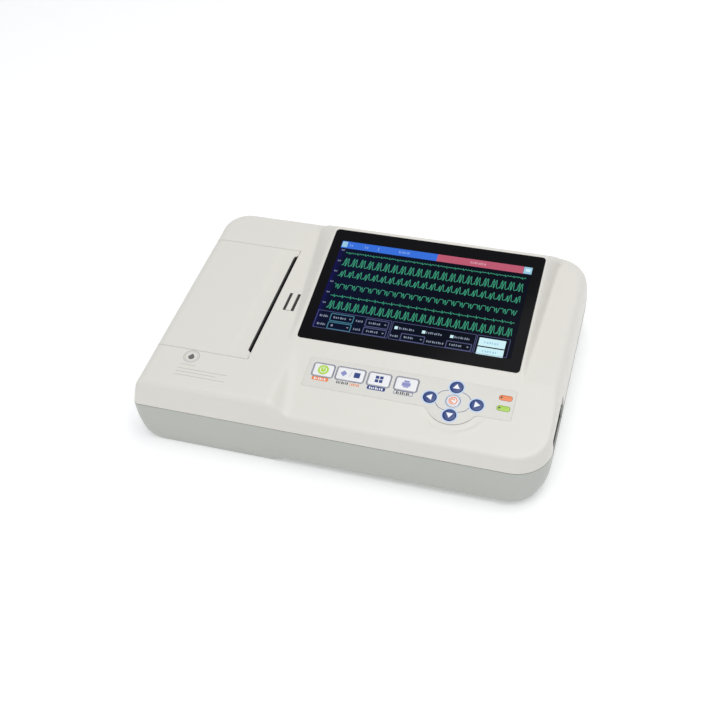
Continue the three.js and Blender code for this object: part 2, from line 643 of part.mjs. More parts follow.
function powerBoard() {
  const board = box(84, 146, 22, 74, 12, 13.6);
  const transformer = box(92, 118, 30, 54, 13, 28);
  const capacitors = [128, 138].map((x) => rodZ(x, 64, 13, 27, 4.5, 14));
  const sink = box(128, 140, 28, 32, 13, 27);
  return join([board, transformer, sink, ...capacitors]);
}

function mainsInlet() {
  const block = socketBody(INLET, 15);
  const blades = [
    [-7, 24],
    [0, 19.6],
    [7, 24],
  ].map(([dx, z]) => box(INLET.x + dx - 1, INLET.x + dx + 1, 88, 99.5, z - 2.4, z + 2.4));
  return join([block, ...blades]);
}

function connectorBezel() {
  const tub = box(PORT.floorX - 2, CASE.halfX - 1.6, PORT.front, PORT.back, PORT.low, PORT.high);
  const hollow = box(PORT.floorX, 170, PORT.front + 1.6, PORT.back - 1.6, PORT.low + 1.6, PORT.high - 1.6);
  const pass = box(140, 170, -71 - CLEAR, -45 + CLEAR, 32.6 - CLEAR, 43.4 + CLEAR);
  return cut(tub, [hollow, pass]);
}

// A fifteen-way D connector: block behind the bezel, tapered nose in front of it.
function leadConnector() {
  const block = box(138, PORT.floorX - 2 - CLEAR, -75, -41, 30.5, 45.5);
  const nose = new THREE.Shape();
  nose.moveTo(-70, 32.8);
  nose.lineTo(-46, 32.8);
  nose.lineTo(-45, 43.2);
  nose.lineTo(-71, 43.2);
  const geometry = new THREE.ExtrudeGeometry(nose, { depth: PORT.noseX - 145, bevelEnabled: false });
  geometry.rotateX(Math.PI / 2).rotateZ(Math.PI / 2).translate(145, 0, 0);
  return block.add(solid(geometry));
}

function keypadBoard() {
  const plate = extrudeW(roundedRect(-68, 87, -104, -73, 2), -9, -7.4);
  const spots = [...MAIN_KEYS.map(([, u]) => [u, KEY.v]), ...padKeys().map(([, u, v]) => [u, v])];
  const tops = KEY.bottom - KEY.travel - CLEAR;
  const switches = spots.map(([u, v]) => box(u - 3, u + 3, v - 3, v + 3, -8, tops));
  return join([plate, ...switches]);
}

function lcdModule() {
  const back = -LEDGE_DEPTH - CLEAR;
  const body = extrudeW(centredRect(0, 0, LCD.width, LCD.height, 1), back - LCD.thick, back);
  const panel = centredRect(0, 0, LCD.activeWidth, LCD.activeHeight, 0.8);
  return body.add(extrudeW(panel, back - 1, -GLASS.thick - 2 * CLEAR));
}

function lcdBracket() {
  const top = -LEDGE_DEPTH - 2 * CLEAR - LCD.thick;
  const frame = extrudeW(centredRect(0, 0, LCD.width + 6, LCD.height + 4, 2), top - 1.2, top);
  return frame.subtract(extrudeW(centredRect(0, 0, 120, 62, 8), top - 3, top + 2));
}

function speaker() {
  const profile = [
    [0, 9],
    [14, 9],
    [15.5, 8.1],
    [17, 8.1],
    [17, 9.6],
    [9, 14.5],
    [9, 17],
    [0, 17],
  ].map(([r, z]) => new THREE.Vector2(r, z));
  return solid(new THREE.LatheGeometry(profile, 16).rotateX(Math.PI / 2).translate(100, -75, 0));
}

function paperRoll() {
  const paper = rodY(ROLL.x, ROLL.z, ROLL.front, ROLL.back, ROLL.radius, 32);
  return paper.subtract(rodY(ROLL.x, ROLL.z, ROLL.front - 1, ROLL.back + 1, ROLL.core + CLEAR, 24));
}

function rollCore() {
  const core = rodY(ROLL.x, ROLL.z, ROLL.front, ROLL.back, ROLL.core, 24);
  return core.subtract(rodY(ROLL.x, ROLL.z, ROLL.front - 1, ROLL.back + 1, ROLL.spindle + CLEAR, 20));
}

// ---------------------------------------------------------------- materials
const finish = (color, roughness, metalness = 0) =>
  new THREE.MeshStandardMaterial({ color, roughness, metalness });
const MATERIAL = {
  ivory: finish(0xe6e3da, 0.42),
  grey: finish(0xaeb4ad, 0.5),
  panel: finish(0xd7d8d0, 0.5),
  keyWhite: finish(0xf1f2f0, 0.4),
  keyBlue: finish(0x27529a, 0.4),
  keyGreen: finish(0x8ed24a, 0.4),
  amber: finish(0xe8702a, 0.3),
  green: finish(0x57b84a, 0.3),
  glass: finish(0x06070a, 0.08),
  board: finish(0x1f5a3a, 0.55),
  black: finish(0x17181a, 0.55),
  rubber: finish(0x2a2a2c, 0.85),
  steel: finish(0x9da1a5, 0.35, 1),
  aluminium: finish(0xb8bcc0, 0.4, 1),
  brass: finish(0xb89a56, 0.35, 1),
  nylon: finish(0xe9e6dc, 0.55),
  paper: finish(0xf6f2ea, 0.85),
  cell: finish(0x2c4f86, 0.5),
};

// ---------------------------------------------------------------- assembly
const machine = new THREE.Group();
const consoleGroup = new THREE.Group();
consoleGroup.position.set(CONSOLE.x, CONSOLE.y, CONSOLE.z);
consoleGroup.rotation.x = CONSOLE.tilt;
machine.add(consoleGroup);

function place(group, name, body, material) {
  const mesh = new THREE.Mesh(geometryOf(body), material);
  mesh.name = name;
  group.add(mesh);
}

place(machine, "upper_housing", upperHousing(), MATERIAL.ivory);
place(machine, "lower_housing", lowerHousing(), MATERIAL.grey);
place(machine, "battery_cover", batteryCover(), MATERIAL.grey);
const coverScrew = screw(BATTERY_COVER.screwX, BATTERY_COVER.screwY, 5.6, 7, 15);
place(machine, "battery_cover_screw", coverScrew, MATERIAL.steel);
HOUSING_SCREWS.forEach(([x, y], i) => {
  const body = screw(x, y, SCREW.headLow, SCREW.headHigh, SCREW.tip);
  place(machine, `housing_screw_${i + 1}`, body, MATERIAL.steel);
});
const FEET = {
  foot_front_left: [-122, -80],
  foot_back_left: [-122, 76],
  foot_front_right: [122, -70],
  foot_back_right: [122, 76],
};
Object.entries(FEET).forEach(([name, [x, y]]) => place(machine, name, foot(x, y), MATERIAL.rubber));

const glassShape = centredRect(0, 0, GLASS.width, GLASS.height, GLASS.radius);
place(consoleGroup, "display_glass", extrudeW(glassShape, -GLASS.thick, 0), MATERIAL.glass);
place(consoleGroup, "lcd_module", lcdModule(), MATERIAL.black);
place(consoleGroup, "lcd_bracket", lcdBracket(), MATERIAL.steel);
place(consoleGroup, "keypad_board", keypadBoard(), MATERIAL.board);
const overlay = overlayBody(0, -CLEAR, OVERLAY.thick - CLEAR);
place(consoleGroup, "keypad_overlay", cut(overlay, keyHoles(0.35, -2, 2)), MATERIAL.panel);
MAIN_KEYS.forEach(([name, u, width]) => {
  place(consoleGroup, name, mainKey(u, width, 0, KEY.bottom, KEY.top), MATERIAL.keyWhite);
});
padKeys().forEach(([name, u, v, radius]) => {
  const material = name === "key_centre" ? MATERIAL.keyWhite : MATERIAL.keyBlue;
  place(consoleGroup, name, roundKey(u, v, radius, KEY.bottom, KEY.top), material);
});
LAMPS.forEach(([name, u, v], i) => {
  const material = i === 0 ? MATERIAL.amber : MATERIAL.green;
  place(consoleGroup, name, lampBody(u, v, 0, LAMP.bottom, LAMP.top), material);
});

place(machine, "main_board", mainBoard(), MATERIAL.board);
place(machine, "power_board", powerBoard(), MATERIAL.board);
place(machine, "battery_pack",
  box(BATTERY.left, BATTERY.right, BATTERY.front, BATTERY.back, BATTERY.low, BATTERY.high), MATERIAL.cell);
place(machine, "speaker", speaker(), MATERIAL.black);
place(machine, "mains_inlet", mainsInlet(), MATERIAL.black);
const post = rodY(EARTH_POST.x, EARTH_POST.z, EARTH_POST.front, EARTH_POST.back, EARTH_POST.radius, 18);
place(machine, "earth_post", post, MATERIAL.brass);
place(machine, "network_socket", socketBody(NETWORK, 13), MATERIAL.steel);
place(machine, "usb_socket", socketBody(USB, 12), MATERIAL.steel);
place(machine, "connector_bezel", connectorBezel(), MATERIAL.black);
place(machine, "lead_connector", leadConnector(), MATERIAL.steel);

place(machine, "paper_tray", paperTray(), MATERIAL.ivory);
place(machine, "paper_roll", paperRoll(), MATERIAL.paper);
place(machine, "roll_core", rollCore(), MATERIAL.nylon);
const spindle = rodY(ROLL.x, ROLL.z, TRAY.front - 0.8, TRAY.back + 0.8, ROLL.spindle, 20);
place(machine, "roll_spindle", spindle, MATERIAL.black);
place(machine, "printer_frame", printerFrame(), MATERIAL.steel);
place(machine, "feed_motor",
  rodY(PLATEN.x, PINION_Z, MOTOR.front, MOTOR.back, MOTOR.radius, 24), MATERIAL.steel);
const pinionShaft = rodY(PLATEN.x, PINION_Z, GEAR.front, MOTOR.front - CLEAR, 1.5, 12);
const pinion = gear(GEAR.pinion, 90, 0, PLATEN.x, PINION_Z).add(pinionShaft);
place(machine, "motor_pinion", pinion, MATERIAL.brass);
const idler = gear(GEAR.idler, 97.5, IDLER_STUD + CLEAR, PLATEN.x, IDLER_Z);
place(machine, "idler_gear", idler, MATERIAL.nylon);
const platenShaft = rodY(PLATEN.x, PLATEN.z, -61.2, 61.2, PLATEN.shaft, 16);
place(machine, "platen_shaft", platenShaft, MATERIAL.steel);
const rubber = rodY(PLATEN.x, PLATEN.z, PLATEN.front, PLATEN.back, PLATEN.radius, 28);
place(machine, "platen_roller",
  rubber.subtract(rodY(PLATEN.x, PLATEN.z, -70, 70, PLATEN.shaft + CLEAR, 16)), MATERIAL.rubber);
place(machine, "platen_gear",
  gear(GEAR.platen, -90, PLATEN.shaft + CLEAR, PLATEN.x, PLATEN.z), MATERIAL.nylon);
place(machine, "print_head", printHead(), MATERIAL.aluminium);
const pivotRod = rodY(HEAD.pivotX, HEAD.pivotZ, FRAME.front - 0.6, FRAME.back + 0.6, PIVOT_ROD, 12);
place(machine, "head_pivot_rod", pivotRod, MATERIAL.steel);
[-24, 30].forEach((y, i) => {
  const spring = coilSpring(PLATEN.x, y, FRAME.shelfZ + 2 + CLEAR, HEAD.low - 0.7, 3, 0.5, 4);
  place(machine, `head_spring_${i + 1}`, spring, MATERIAL.steel);
});
const tearBar = box(SLOT_RIGHT, -70.5, PLATEN.front - 1, PLATEN.back + 0.5, 57.4, 58.6);
place(machine, "tear_bar", tearBar, MATERIAL.steel);
place(machine, "paper_door", doorBody(), MATERIAL.ivory);
const hingePin = rodY(HINGE.x, HINGE.z, -DOOR.halfY - 2.4, DOOR.halfY + 2.4, HINGE.pin, 12);
place(machine, "door_hinge_pin", hingePin, MATERIAL.steel);
place(machine, "release_button", releaseButton(), MATERIAL.ivory);
place(machine, "latch_bar", latchBar(), MATERIAL.steel);

export default machine;
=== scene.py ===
"""Looks of a tabletop electrocardiograph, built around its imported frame.

Shapes are worked out in millimetres and stored in metres. The console is the tilted plane that holds the
display and the keypad: u runs to the right in it, v to the back and w out of it.
"""
import math

import bmesh
import bpy
import numpy as np
from bpy.props import FloatProperty, FloatVectorProperty, PointerProperty
from mathutils import Matrix, Vector
from mathutils.geometry import delaunay_2d_cdt


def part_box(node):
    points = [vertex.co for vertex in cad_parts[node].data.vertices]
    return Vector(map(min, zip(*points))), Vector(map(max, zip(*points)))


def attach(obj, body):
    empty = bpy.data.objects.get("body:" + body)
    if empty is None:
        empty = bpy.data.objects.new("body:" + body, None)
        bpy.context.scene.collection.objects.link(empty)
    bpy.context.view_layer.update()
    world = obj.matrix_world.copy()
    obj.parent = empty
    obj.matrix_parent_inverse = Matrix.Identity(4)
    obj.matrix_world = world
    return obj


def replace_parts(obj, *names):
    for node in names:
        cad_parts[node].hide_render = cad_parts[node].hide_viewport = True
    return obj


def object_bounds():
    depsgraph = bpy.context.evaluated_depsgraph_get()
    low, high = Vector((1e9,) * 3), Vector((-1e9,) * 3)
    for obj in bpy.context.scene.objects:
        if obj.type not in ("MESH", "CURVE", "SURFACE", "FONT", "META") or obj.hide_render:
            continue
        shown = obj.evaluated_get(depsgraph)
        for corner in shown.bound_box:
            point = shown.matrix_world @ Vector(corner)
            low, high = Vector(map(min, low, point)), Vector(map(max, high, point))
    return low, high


bl_info = {
    "name": "Tabletop electrocardiograph",
    "version": (1, 0, 0),
    "blender": (4, 5, 0),
    "location": "View3D > Sidebar > Electrocardiograph",
    "description": "Builds the looks of a tabletop electrocardiograph around its packed frame",
    "category": "Object",
}

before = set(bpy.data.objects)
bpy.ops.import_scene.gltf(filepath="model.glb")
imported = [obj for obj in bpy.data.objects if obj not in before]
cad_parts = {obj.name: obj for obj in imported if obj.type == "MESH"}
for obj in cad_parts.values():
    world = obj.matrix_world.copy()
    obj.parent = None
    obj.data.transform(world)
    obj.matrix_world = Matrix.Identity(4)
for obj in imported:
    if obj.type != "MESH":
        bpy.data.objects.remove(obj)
CAD_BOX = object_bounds()
MM = 0.001


# ---------------------------------------------------------------- sizes, from the frame and in millimetres
def node_box(node):
    """Lowest and highest corner of a node of the frame."""
    low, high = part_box(node)
    return np.array(low) / MM, np.array(high) / MM


def node_centre(node):
    low, high = node_box(node)
    return (low + high) / 2


HALF_X = CAD_BOX[1].x / MM
HALF_Y = CAD_BOX[1].y / MM
SEAM_Z = 38.0
DECK_Z = 61.5
WALL = 2.5
CORNER_RADII = (5, 27, 26, 23)  # front left, front right, back right, back left
INNER_INSET = 16  # the skin's wall part ends this far inside the outline
UPPER_SECTIONS = (  # height, and insets at the left, right, front and back
    (SEAM_Z, 0, 0, 0, 0),
    (50, 3, 0.8, 1.8, 1.6),
    (57, 5.2, 2, 3.2, 3.2),
    (60.3, 7.4, 4.4, 4.8, 5.5),
    (DECK_Z, 11, 8, 8, 9),
)
LOWER_SECTIONS = (
    (0.4, 15.5, 14, 1.2, 10),
    (3.7, 10.2, 8, 0.5, 6.5),
    (8.8, 5.4, 4, 0.3, 3.4),
    (15.5, 2.4, 1.6, 0.3, 1.5),
    (25, 0.3, 0.4, 0.2, 0.6),
    (SEAM_Z - 0.3, 0, 0, 0, 0),
)
STEP_X, STEP_RUN, STEP_RISE = -45, 6, 3.3  # the floor right of the printer sits higher

TILT = math.radians(8.8)
GLASS_WIDTH, GLASS_HEIGHT, GLASS_THICK, GLASS_RADIUS = 170.4, 110.8, 1.8, 3
W_AXIS = np.array([0, -math.sin(TILT), math.cos(TILT)])
V_AXIS = np.array([0, math.cos(TILT), math.sin(TILT)])
U_AXIS = np.array([1.0, 0, 0])
CONSOLE = node_centre("display_glass") + W_AXIS * GLASS_THICK / 2
CONSOLE_LEVEL = CONSOLE[1] + (DECK_Z - CONSOLE[2]) / math.tan(TILT)  # where the console meets the deck
WEDGE_LEFT, WEDGE_RIGHT, WEDGE_BACK, WEDGE_FOOT_BACK = -49.4, 125.4, 79, 100
RAMP_X, RAMP_SLOPE = -46, 1.14

PANEL_LEFT, PANEL_RIGHT, PANEL_FRONT, PANEL_BACK = -68.8, 87.4, -97.4, -71.2
KEY_DEPTH, KEY_RADIUS, KEY_TOP, KEY_FOOT = 10.4, 1.4, 0.7, -2.6
MAIN_KEYS = ("key_power", "key_start_stop", "key_mode", "key_print")
ARROW_KEYS = ("key_up", "key_down", "key_left", "key_right")
LAMPS = ("lamp_mains", "lamp_battery")
LAMP_DEPTH = 4.4

DOOR_RIGHT, DOOR_HALF, DOOR_LOW = -78.9, 63, 44.5
OPENING_RIGHT, OPENING_HALF, OPENING_LOW = -76.4, 63.4, 41.4
SLOT_FRONT, SLOT_BACK = -54.5, 57.6
COVER_HALF = 63.22  # the cover's skin leaves a fine seam
HINGE_X, HINGE_Z, BOSS_LENGTH, BOSS_RADIUS = -152.9, 44.5, 3.2, 3
PORT_INNER, PORT_OUTER, PORT_GAP = 150, 170, 0.3  # the cut in the right wall for the lead connector
BACK_INNER, BACK_OUTER = 96, 120  # the cuts in the back wall for its sockets
LIP_WIDTH = 0.9  # of the black lip along the cover's slot edge, whose black is partly painted shade of the slot
SLOT_DIP, DIP_X, DIP_RUN, DIP_HALF, DIP_FADE = 1.3, -94, 6, 60.6, 2.2  # the cover dips towards its slot


def console_z(y):
    return CONSOLE[2] + (y - CONSOLE[1]) * math.tan(TILT)


def on_console(u, v, w=0.0):
    return CONSOLE + U_AXIS * u + V_AXIS * v + W_AXIS * w


def console_place(node):
    """Where a node's middle lies in the console plane."""
    away = node_centre(node) - CONSOLE
    return float(away @ U_AXIS), float(away @ V_AXIS)


def node_width(node):
    low, high = node_box(node)
    return float(high[0] - low[0])


# ---------------------------------------------------------------- settings
def colour_property(name, description, default):
    return FloatVectorProperty(
        name=name, description=description, default=default, subtype="COLOR", size=3, min=0, max=1)


class ECG_PG_case(bpy.types.PropertyGroup):
    ivory: colour_property("Ivory", "Colour of the upper case and the paper cover", (0.725, 0.70, 0.645))
    grey: colour_property("Grey", "Colour of the lower case", (0.475, 0.488, 0.452))
    edge_drop: FloatProperty(
        name="Edge drop", description="How far an opening's edge is rounded over",
        default=0.35 * MM, min=0, max=0.001, unit="LENGTH", precision=5)
    soft_edge: FloatProperty(
        name="Soft edge", description="Reach of the rounding between the walls and the deck",
        default=2.4 * MM, min=0.0005, max=0.006, unit="LENGTH", precision=5)


class ECG_PG_display(bpy.types.PropertyGroup):
    glow: FloatProperty(name="Glow", description="Brightness of the picture", default=1.0, min=0, max=10)
    trace: colour_property("Trace", "Colour of the six traces", (0.055, 0.43, 0.25))
    bar_left: colour_property("Left bar", "Colour of the title bar's left part", (0.034, 0.155, 0.70))
    bar_right: colour_property("Right bar", "Colour of the title bar's right part", (0.50, 0.10, 0.16))
    trace_width: FloatProperty(
        name="Trace width", description="Width of a trace's line",
        default=0.5 * MM, min=0.0001, max=0.001, unit="LENGTH", precision=5)


class ECG_PG_keypad(bpy.types.PropertyGroup):
    film: colour_property("Film", "Colour of the printed film", (0.685, 0.67, 0.625))
    ink: colour_property("Ink", "Colour of the outlines", (0.16, 0.18, 0.30))
    blue: colour_property("Blue", "Colour of the arrow keys", (0.010, 0.040, 0.20))
    orange: colour_property("Orange", "Colour of the orange print", (0.80, 0.22, 0.06))
    green: colour_property("Green", "Colour of the green print", (0.42, 0.66, 0.06))


class ECG_PG_stage(bpy.types.PropertyGroup):
    floor: colour_property("Floor", "Colour of the floor", (0.97, 0.97, 0.97))
    lens: FloatProperty(
        name="Lens", description="Focal length, in millimetres", default=55.3, min=10, max=200)
    key_power: FloatProperty(
        name="Key light", description="Power of the key light", default=7.2, min=0, unit="POWER")


def settings():
    return bpy.context.scene


# ---------------------------------------------------------------- mesh helpers
def store(name, points, faces, material, body="case", slot=None, angle=30):
    """A piece from points in millimetres, smooth but for edges sharper than the angle."""
    mesh = bpy.data.meshes.new(name)
    mesh.from_pydata([tuple(float(c) * MM for c in p) for p in points], [], [tuple(f) for f in faces])
    mesh.validate()
    obj = bpy.data.objects.new(name, mesh)
    bpy.context.scene.collection.objects.link(obj)
    tidy_normals(obj)
    finish_piece(obj, material, body, slot, angle)
    return obj


def tidy_normals(obj):
    bm = bmesh.new()
    bm.from_mesh(obj.data)
    bmesh.ops.recalc_face_normals(bm, faces=bm.faces)
    bm.to_mesh(obj.data)
    bm.free()


def finish_piece(obj, material, body, slot, angle=30):
    obj.data.materials.clear()
    obj.data.materials.append(MATERIALS[material])
    obj.data.shade_smooth()
    obj.data.set_sharp_from_angle(angle=math.radians(angle))
    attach(obj, body)


def with_modifiers(obj):
    """Applies an object's modifiers."""
    depsgraph = bpy.context.evaluated_depsgraph_get()
    mesh = bpy.data.meshes.new_from_object(obj.evaluated_get(depsgraph))
    obj.modifiers.clear()
    old = obj.data
    obj.data = mesh
    bpy.data.meshes.remove(old)
    return obj


def loose(name, points, faces):
    """A helper object that is used up by a modifier."""
    mesh = bpy.data.meshes.new(name)
    mesh.from_pydata([tuple(float(c) * MM for c in p) for p in points], [], [tuple(f) for f in faces])
    obj = bpy.data.objects.new(name, mesh)
    bpy.context.scene.collection.objects.link(obj)
    tidy_normals(obj)
    return obj


def subtract(obj, tool):
    """Cuts a helper object out of an object and deletes the helper."""
    cutter = obj.modifiers.new("cut", "BOOLEAN")
    cutter.operation, cutter.solver, cutter.object = "DIFFERENCE", "EXACT", tool
    with_modifiers(obj)
    bpy.data.objects.remove(tool)


def carve(obj, solids):
    """Cuts solids, each a pair of points and faces, out of an object."""
    for i, solid in enumerate(solids):
        subtract(obj, loose(f"{obj.name}_tool_{i}", *solid))
    return obj


def block(x0, x1, y0, y1, z0, z1):
    points = [(x, y, z) for z in (z0, z1) for x, y in ((x0, y0), (x1, y0), (x1, y1), (x0, y1))]
    faces = [(3, 2, 1, 0), (4, 5, 6, 7), (0, 1, 5, 4), (1, 2, 6, 5), (2, 3, 7, 6), (3, 0, 4, 7)]
    return points, faces


def lofted(rings, close_ends=True):
    """Points and faces of a skin through rings of equal length."""
    count = len(rings[0])
    points = [p for ring in rings for p in ring]
    faces = []
    for k in range(len(rings) - 1):
        for i in range(count):
            a, b = k * count + i, k * count + (i + 1) % count
            faces.append((a, b, b + count, a + count))
    if close_ends:
        faces.append(tuple(reversed(range(count))))
        faces.append(tuple(range(len(points) - count, len(points))))
    return points, faces


def merged(parts):
    """Several pairs of points and faces as one pair."""
    points, faces = [], []
    for more_points, more_faces in parts:
        start = len(points)
        points.extend(more_points)
        faces.extend(tuple(i + start for i in face) for face in more_faces)
    return points, faces


def turned(profile, centre, axis, sides=48):
    """A lathe form: profile pairs are radius and distance along the axis, which is 0, 1 or 2."""
    rings = []
    for radius, along in profile:
        ring = []
        for i in range(sides):
            angle = 2 * math.pi * i / sides
            point = [0.0, 0.0, 0.0]
            point[axis] = along
            point[(axis + 1) % 3] = radius * math.cos(angle)
            point[(axis + 2) % 3] = radius * math.sin(angle)
            ring.append(tuple(p + c for p, c in zip(point, centre)))
        rings.append(ring)
    return lofted(rings)


def arc(cx, cy, radius, start, end, steps):
    angles = np.linspace(start, end, steps + 1)
    return [(cx + radius * math.cos(a), cy + radius * math.sin(a)) for a in angles]


def rounded_rect(cx, cy, width, height, radius, steps=6):
    """A closed outline, anticlockwise."""
    radius = min(radius, width / 2 - 1e-4, height / 2 - 1e-4)
    x, y = width / 2 - radius, height / 2 - radius
    quarter = math.pi / 2
    corners = ((-x, -y, 2), (x, -y, 3), (x, y, 0), (-x, y, 1))
    return [p for dx, dy, k in corners
            for p in arc(cx + dx, cy + dy, radius, k * quarter, (k + 1) * quarter, steps)]


def circle(cx, cy, radius, sides=48):
    return arc(cx, cy, radius, 0, 2 * math.pi, sides)[:-1]


def rounded_slab(outline, low, high, round_top, crown=0.0, lift=on_console, steps=4, flat=False):
    """A slab over outline(shrink) with a rounded top edge. lift takes an outline's point and a height."""
    rings = [[lift(a, b, low) for a, b in outline(0)]]
    for i in range(steps + 1):
        turn = math.pi / 2 * i / steps
        shrink = round_top * (1 - math.cos(turn))
        height = high - crown - round_top * (1 - math.sin(turn))
        rings.append([lift(a, b, height) for a, b in outline(shrink)])
    for share in () if flat else (1 / 3, 2 / 3, 1):
        height = high - crown * (1 - share) ** 2
        rings.append([lift(a, b, height) for a, b in outline(round_top + 1.1 * share)])
    return lofted(rings)


def flat_print(shapes, low, high, lift=on_console):
    """Thin plates over closed outlines, for print and for parts of the picture."""
    parts = []
    for shape in shapes:
        rings = [[lift(a, b, low) for a, b in shape], [lift(a, b, high) for a, b in shape]]
        parts.append(lofted(rings))
    return merged(parts)


def ring_print(outer, inner, low, high, lift=on_console):
    """A thin closed band between two outlines of equal length."""
    levels = ((outer, low), (outer, high), (inner, high), (inner, low))
    rings = [[lift(a, b, h) for a, b in line] for line, h in levels]
    points, faces = lofted(rings + [rings[0]], close_ends=False)
    count = len(outer)
    last = 4 * count
    return points[:last], [tuple(i if i < last else i - last for i in face) for face in faces]


def eased(value):
    """Smooth step of a value, 0 below 0 and 1 above 1."""
    share = np.clip(value, 0, 1)
    return share * share * (3 - 2 * share)


def bar(x0, x1, y0, y1):
    return [(x0, y0), (x1, y0), (x1, y1), (x0, y1)]


def ribbon(points, width, low, high, lift=on_console):
    """A line drawn with a pen, as a thin strip of four-sided faces."""
    line = np.array(points, float)
    ahead = np.gradient(line, axis=0)
    ahead /= np.linalg.norm(ahead, axis=1, keepdims=True)
    side = np.stack([-ahead[:, 1], ahead[:, 0]], 1) * width / 2
    rings = []
    for p, s in zip(line, side):
        a, b = p + s, p - s
        rings.append([lift(*a, low), lift(*b, low), lift(*b, high), lift(*a, high)])
    return lofted(rings)


def frame_print(x0, x1, y0, y1, line, low, high, radius=0.6):
    """An outlined box."""
    cx, cy = (x0 + x1) / 2, (y0 + y1) / 2
    outer = rounded_rect(cx, cy, x1 - x0, y1 - y0, radius, 3)
    inner = rounded_rect(cx, cy, x1 - x0 - 2 * line, y1 - y0 - 2 * line, max(radius - line, 0.05), 3)
    return ring_print(outer, inner, low, high)


# ---------------------------------------------------------------- shader groups
def new_group(name, inputs, outputs):
    group = bpy.data.node_groups.new(name, "ShaderNodeTree")
    for label, kind, value in inputs:
        socket = group.interface.new_socket(name=label, in_out="INPUT", socket_type=kind)
        if value is not None:
            socket.default_value = value
    for label, kind in outputs:
        group.interface.new_socket(name=label, in_out="OUTPUT", socket_type=kind)
    start = group.nodes.new("NodeGroupInput")
    end = group.nodes.new("NodeGroupOutput")
    return group, start, end


def add_node(tree, kind, **values):
    node = tree.nodes.new(kind)
    for key, value in values.items():
        setattr(node, key, value)
    return node


def wired(tree, node, **values):
    """Fills a node's inputs: values are set on them, and other nodes' outputs are linked to them."""
    for label, value in values.items():
        socket = node.inputs[label.replace("_", " ")]
        if isinstance(value, bpy.types.NodeSocket):
            tree.links.new(value, socket)
        else:
            socket.default_value = value
    return node


def maths(tree, operation, a, b=None, clamp=False):
    node = add_node(tree, "ShaderNodeMath", operation=operation, use_clamp=clamp)
    for i, value in enumerate((a, b)):
        if value is None:
            continue
        if isinstance(value, (int, float)):
            node.inputs[i].default_value = value
        else:
            tree.links.new(value, node.inputs[i])
    return node.outputs[0]


def noise(tree, vector, scale, detail=3.0, roughness=0.55):
    node = add_node(tree, "ShaderNodeTexNoise")
    wired(tree, node, Vector=vector, Scale=scale, Detail=detail, Roughness=roughness)
    return node.outputs["Fac"]


def grain_group():
    """Fine spark texture of a mould: a height, and a mask that varies the gloss."""
    group, start, end = new_group(
        "Mould grain",
        [("Vector", "NodeSocketVector", None), ("Scale", "NodeSocketFloat", 2600.0)],
        [("Height", "NodeSocketFloat"), ("Gloss mask", "NodeSocketFloat")])
    vector, scale = start.outputs["Vector"], start.outputs["Scale"]
    fine = noise(group, vector, scale, 2.0, 0.5)
    coarse = noise(group, vector, maths(group, "MULTIPLY", scale, 0.31), 2.0, 0.5)
    height = maths(group, "ADD", maths(group, "MULTIPLY", fine, 0.65), maths(group, "MULTIPLY", coarse, 0.35))
    wired(group, end, Height=height, Gloss_mask=noise(group, vector, 60.0, 4.0))
    return group


def wear_group():
    """Rubbed edges: where the surface is convex, broken up by noise."""
    group, start, end = new_group(
        "Edge wear",
        [("Vector", "NodeSocketVector", None), ("Amount", "NodeSocketFloat", 0.3)],
        [("Mask", "NodeSocketFloat")])
    geometry = add_node(group, "ShaderNodeNewGeometry")
    edge = wired(group, add_node(group, "ShaderNodeMapRange"),
                 Value=geometry.outputs["Pointiness"], From_Min=0.52, From_Max=0.62)
    patchy = noise(group, start.outputs["Vector"], 140.0, 5.0, 0.6)
    mask = maths(group, "MULTIPLY", edge.outputs["Result"], patchy)
    wired(group, end, Mask=maths(group, "MULTIPLY", mask, start.outputs["Amount"], clamp=True))
    return group


def dust_group():
    """A trace of dust on surfaces that face up, in soft patches with specks."""
    group, start, end = new_group(
        "Settled dust",
        [("Vector", "NodeSocketVector", None), ("Amount", "NodeSocketFloat", 0.2)],
        [("Mask", "NodeSocketFloat")])
    vector = start.outputs["Vector"]
    geometry = add_node(group, "ShaderNodeNewGeometry")
    parts = wired(group, add_node(group, "ShaderNodeSeparateXYZ"), Vector=geometry.outputs["Normal"])
    up = maths(group, "POWER", maths(group, "MAXIMUM", parts.outputs["Z"], 0.0), 3.0)
    patches = noise(group, vector, 22.0, 5.0, 0.6)
    specks = maths(group, "GREATER_THAN", noise(group, vector, 900.0, 1.0), 0.72)
    cover = maths(group, "ADD", maths(group, "MULTIPLY", patches, 0.7), maths(group, "MULTIPLY", specks, 0.5))
    shown = maths(group, "MULTIPLY", up, cover)
    wired(group, end, Mask=maths(group, "MULTIPLY", shown, start.outputs["Amount"], clamp=True))
    return group


def brushed_group():
    """Fine lines along one way, for drawn and rolled metal."""
    group, start, end = new_group(
        "Brushed lines",
        [("Vector", "NodeSocketVector", None), ("Stretch", "NodeSocketVector", (3000.0, 40.0, 3000.0))],
        [("Height", "NodeSocketFloat"), ("Mask", "NodeSocketFloat")])
    scaled = add_node(group, "ShaderNodeVectorMath", operation="MULTIPLY")
    group.links.new(start.outputs["Vector"], scaled.inputs[0])
    group.links.new(start.outputs["Stretch"], scaled.inputs[1])
    lines = noise(group, scaled.outputs[0], 1.0, 3.0)
    wired(group, end, Height=lines, Mask=maths(group, "POWER", lines, 2.0))
    return group


GROUPS = {}


def shared(tree, key, vector, **values):
    """Places a shared group in a material with its own values."""
    if key not in GROUPS:
        makers = {"grain": grain_group, "wear": wear_group, "dust": dust_group, "brushed": brushed_group}
        GROUPS[key] = makers[key]()
    return wired(tree, add_node(tree, "ShaderNodeGroup", node_tree=GROUPS[key]), Vector=vector, **values)


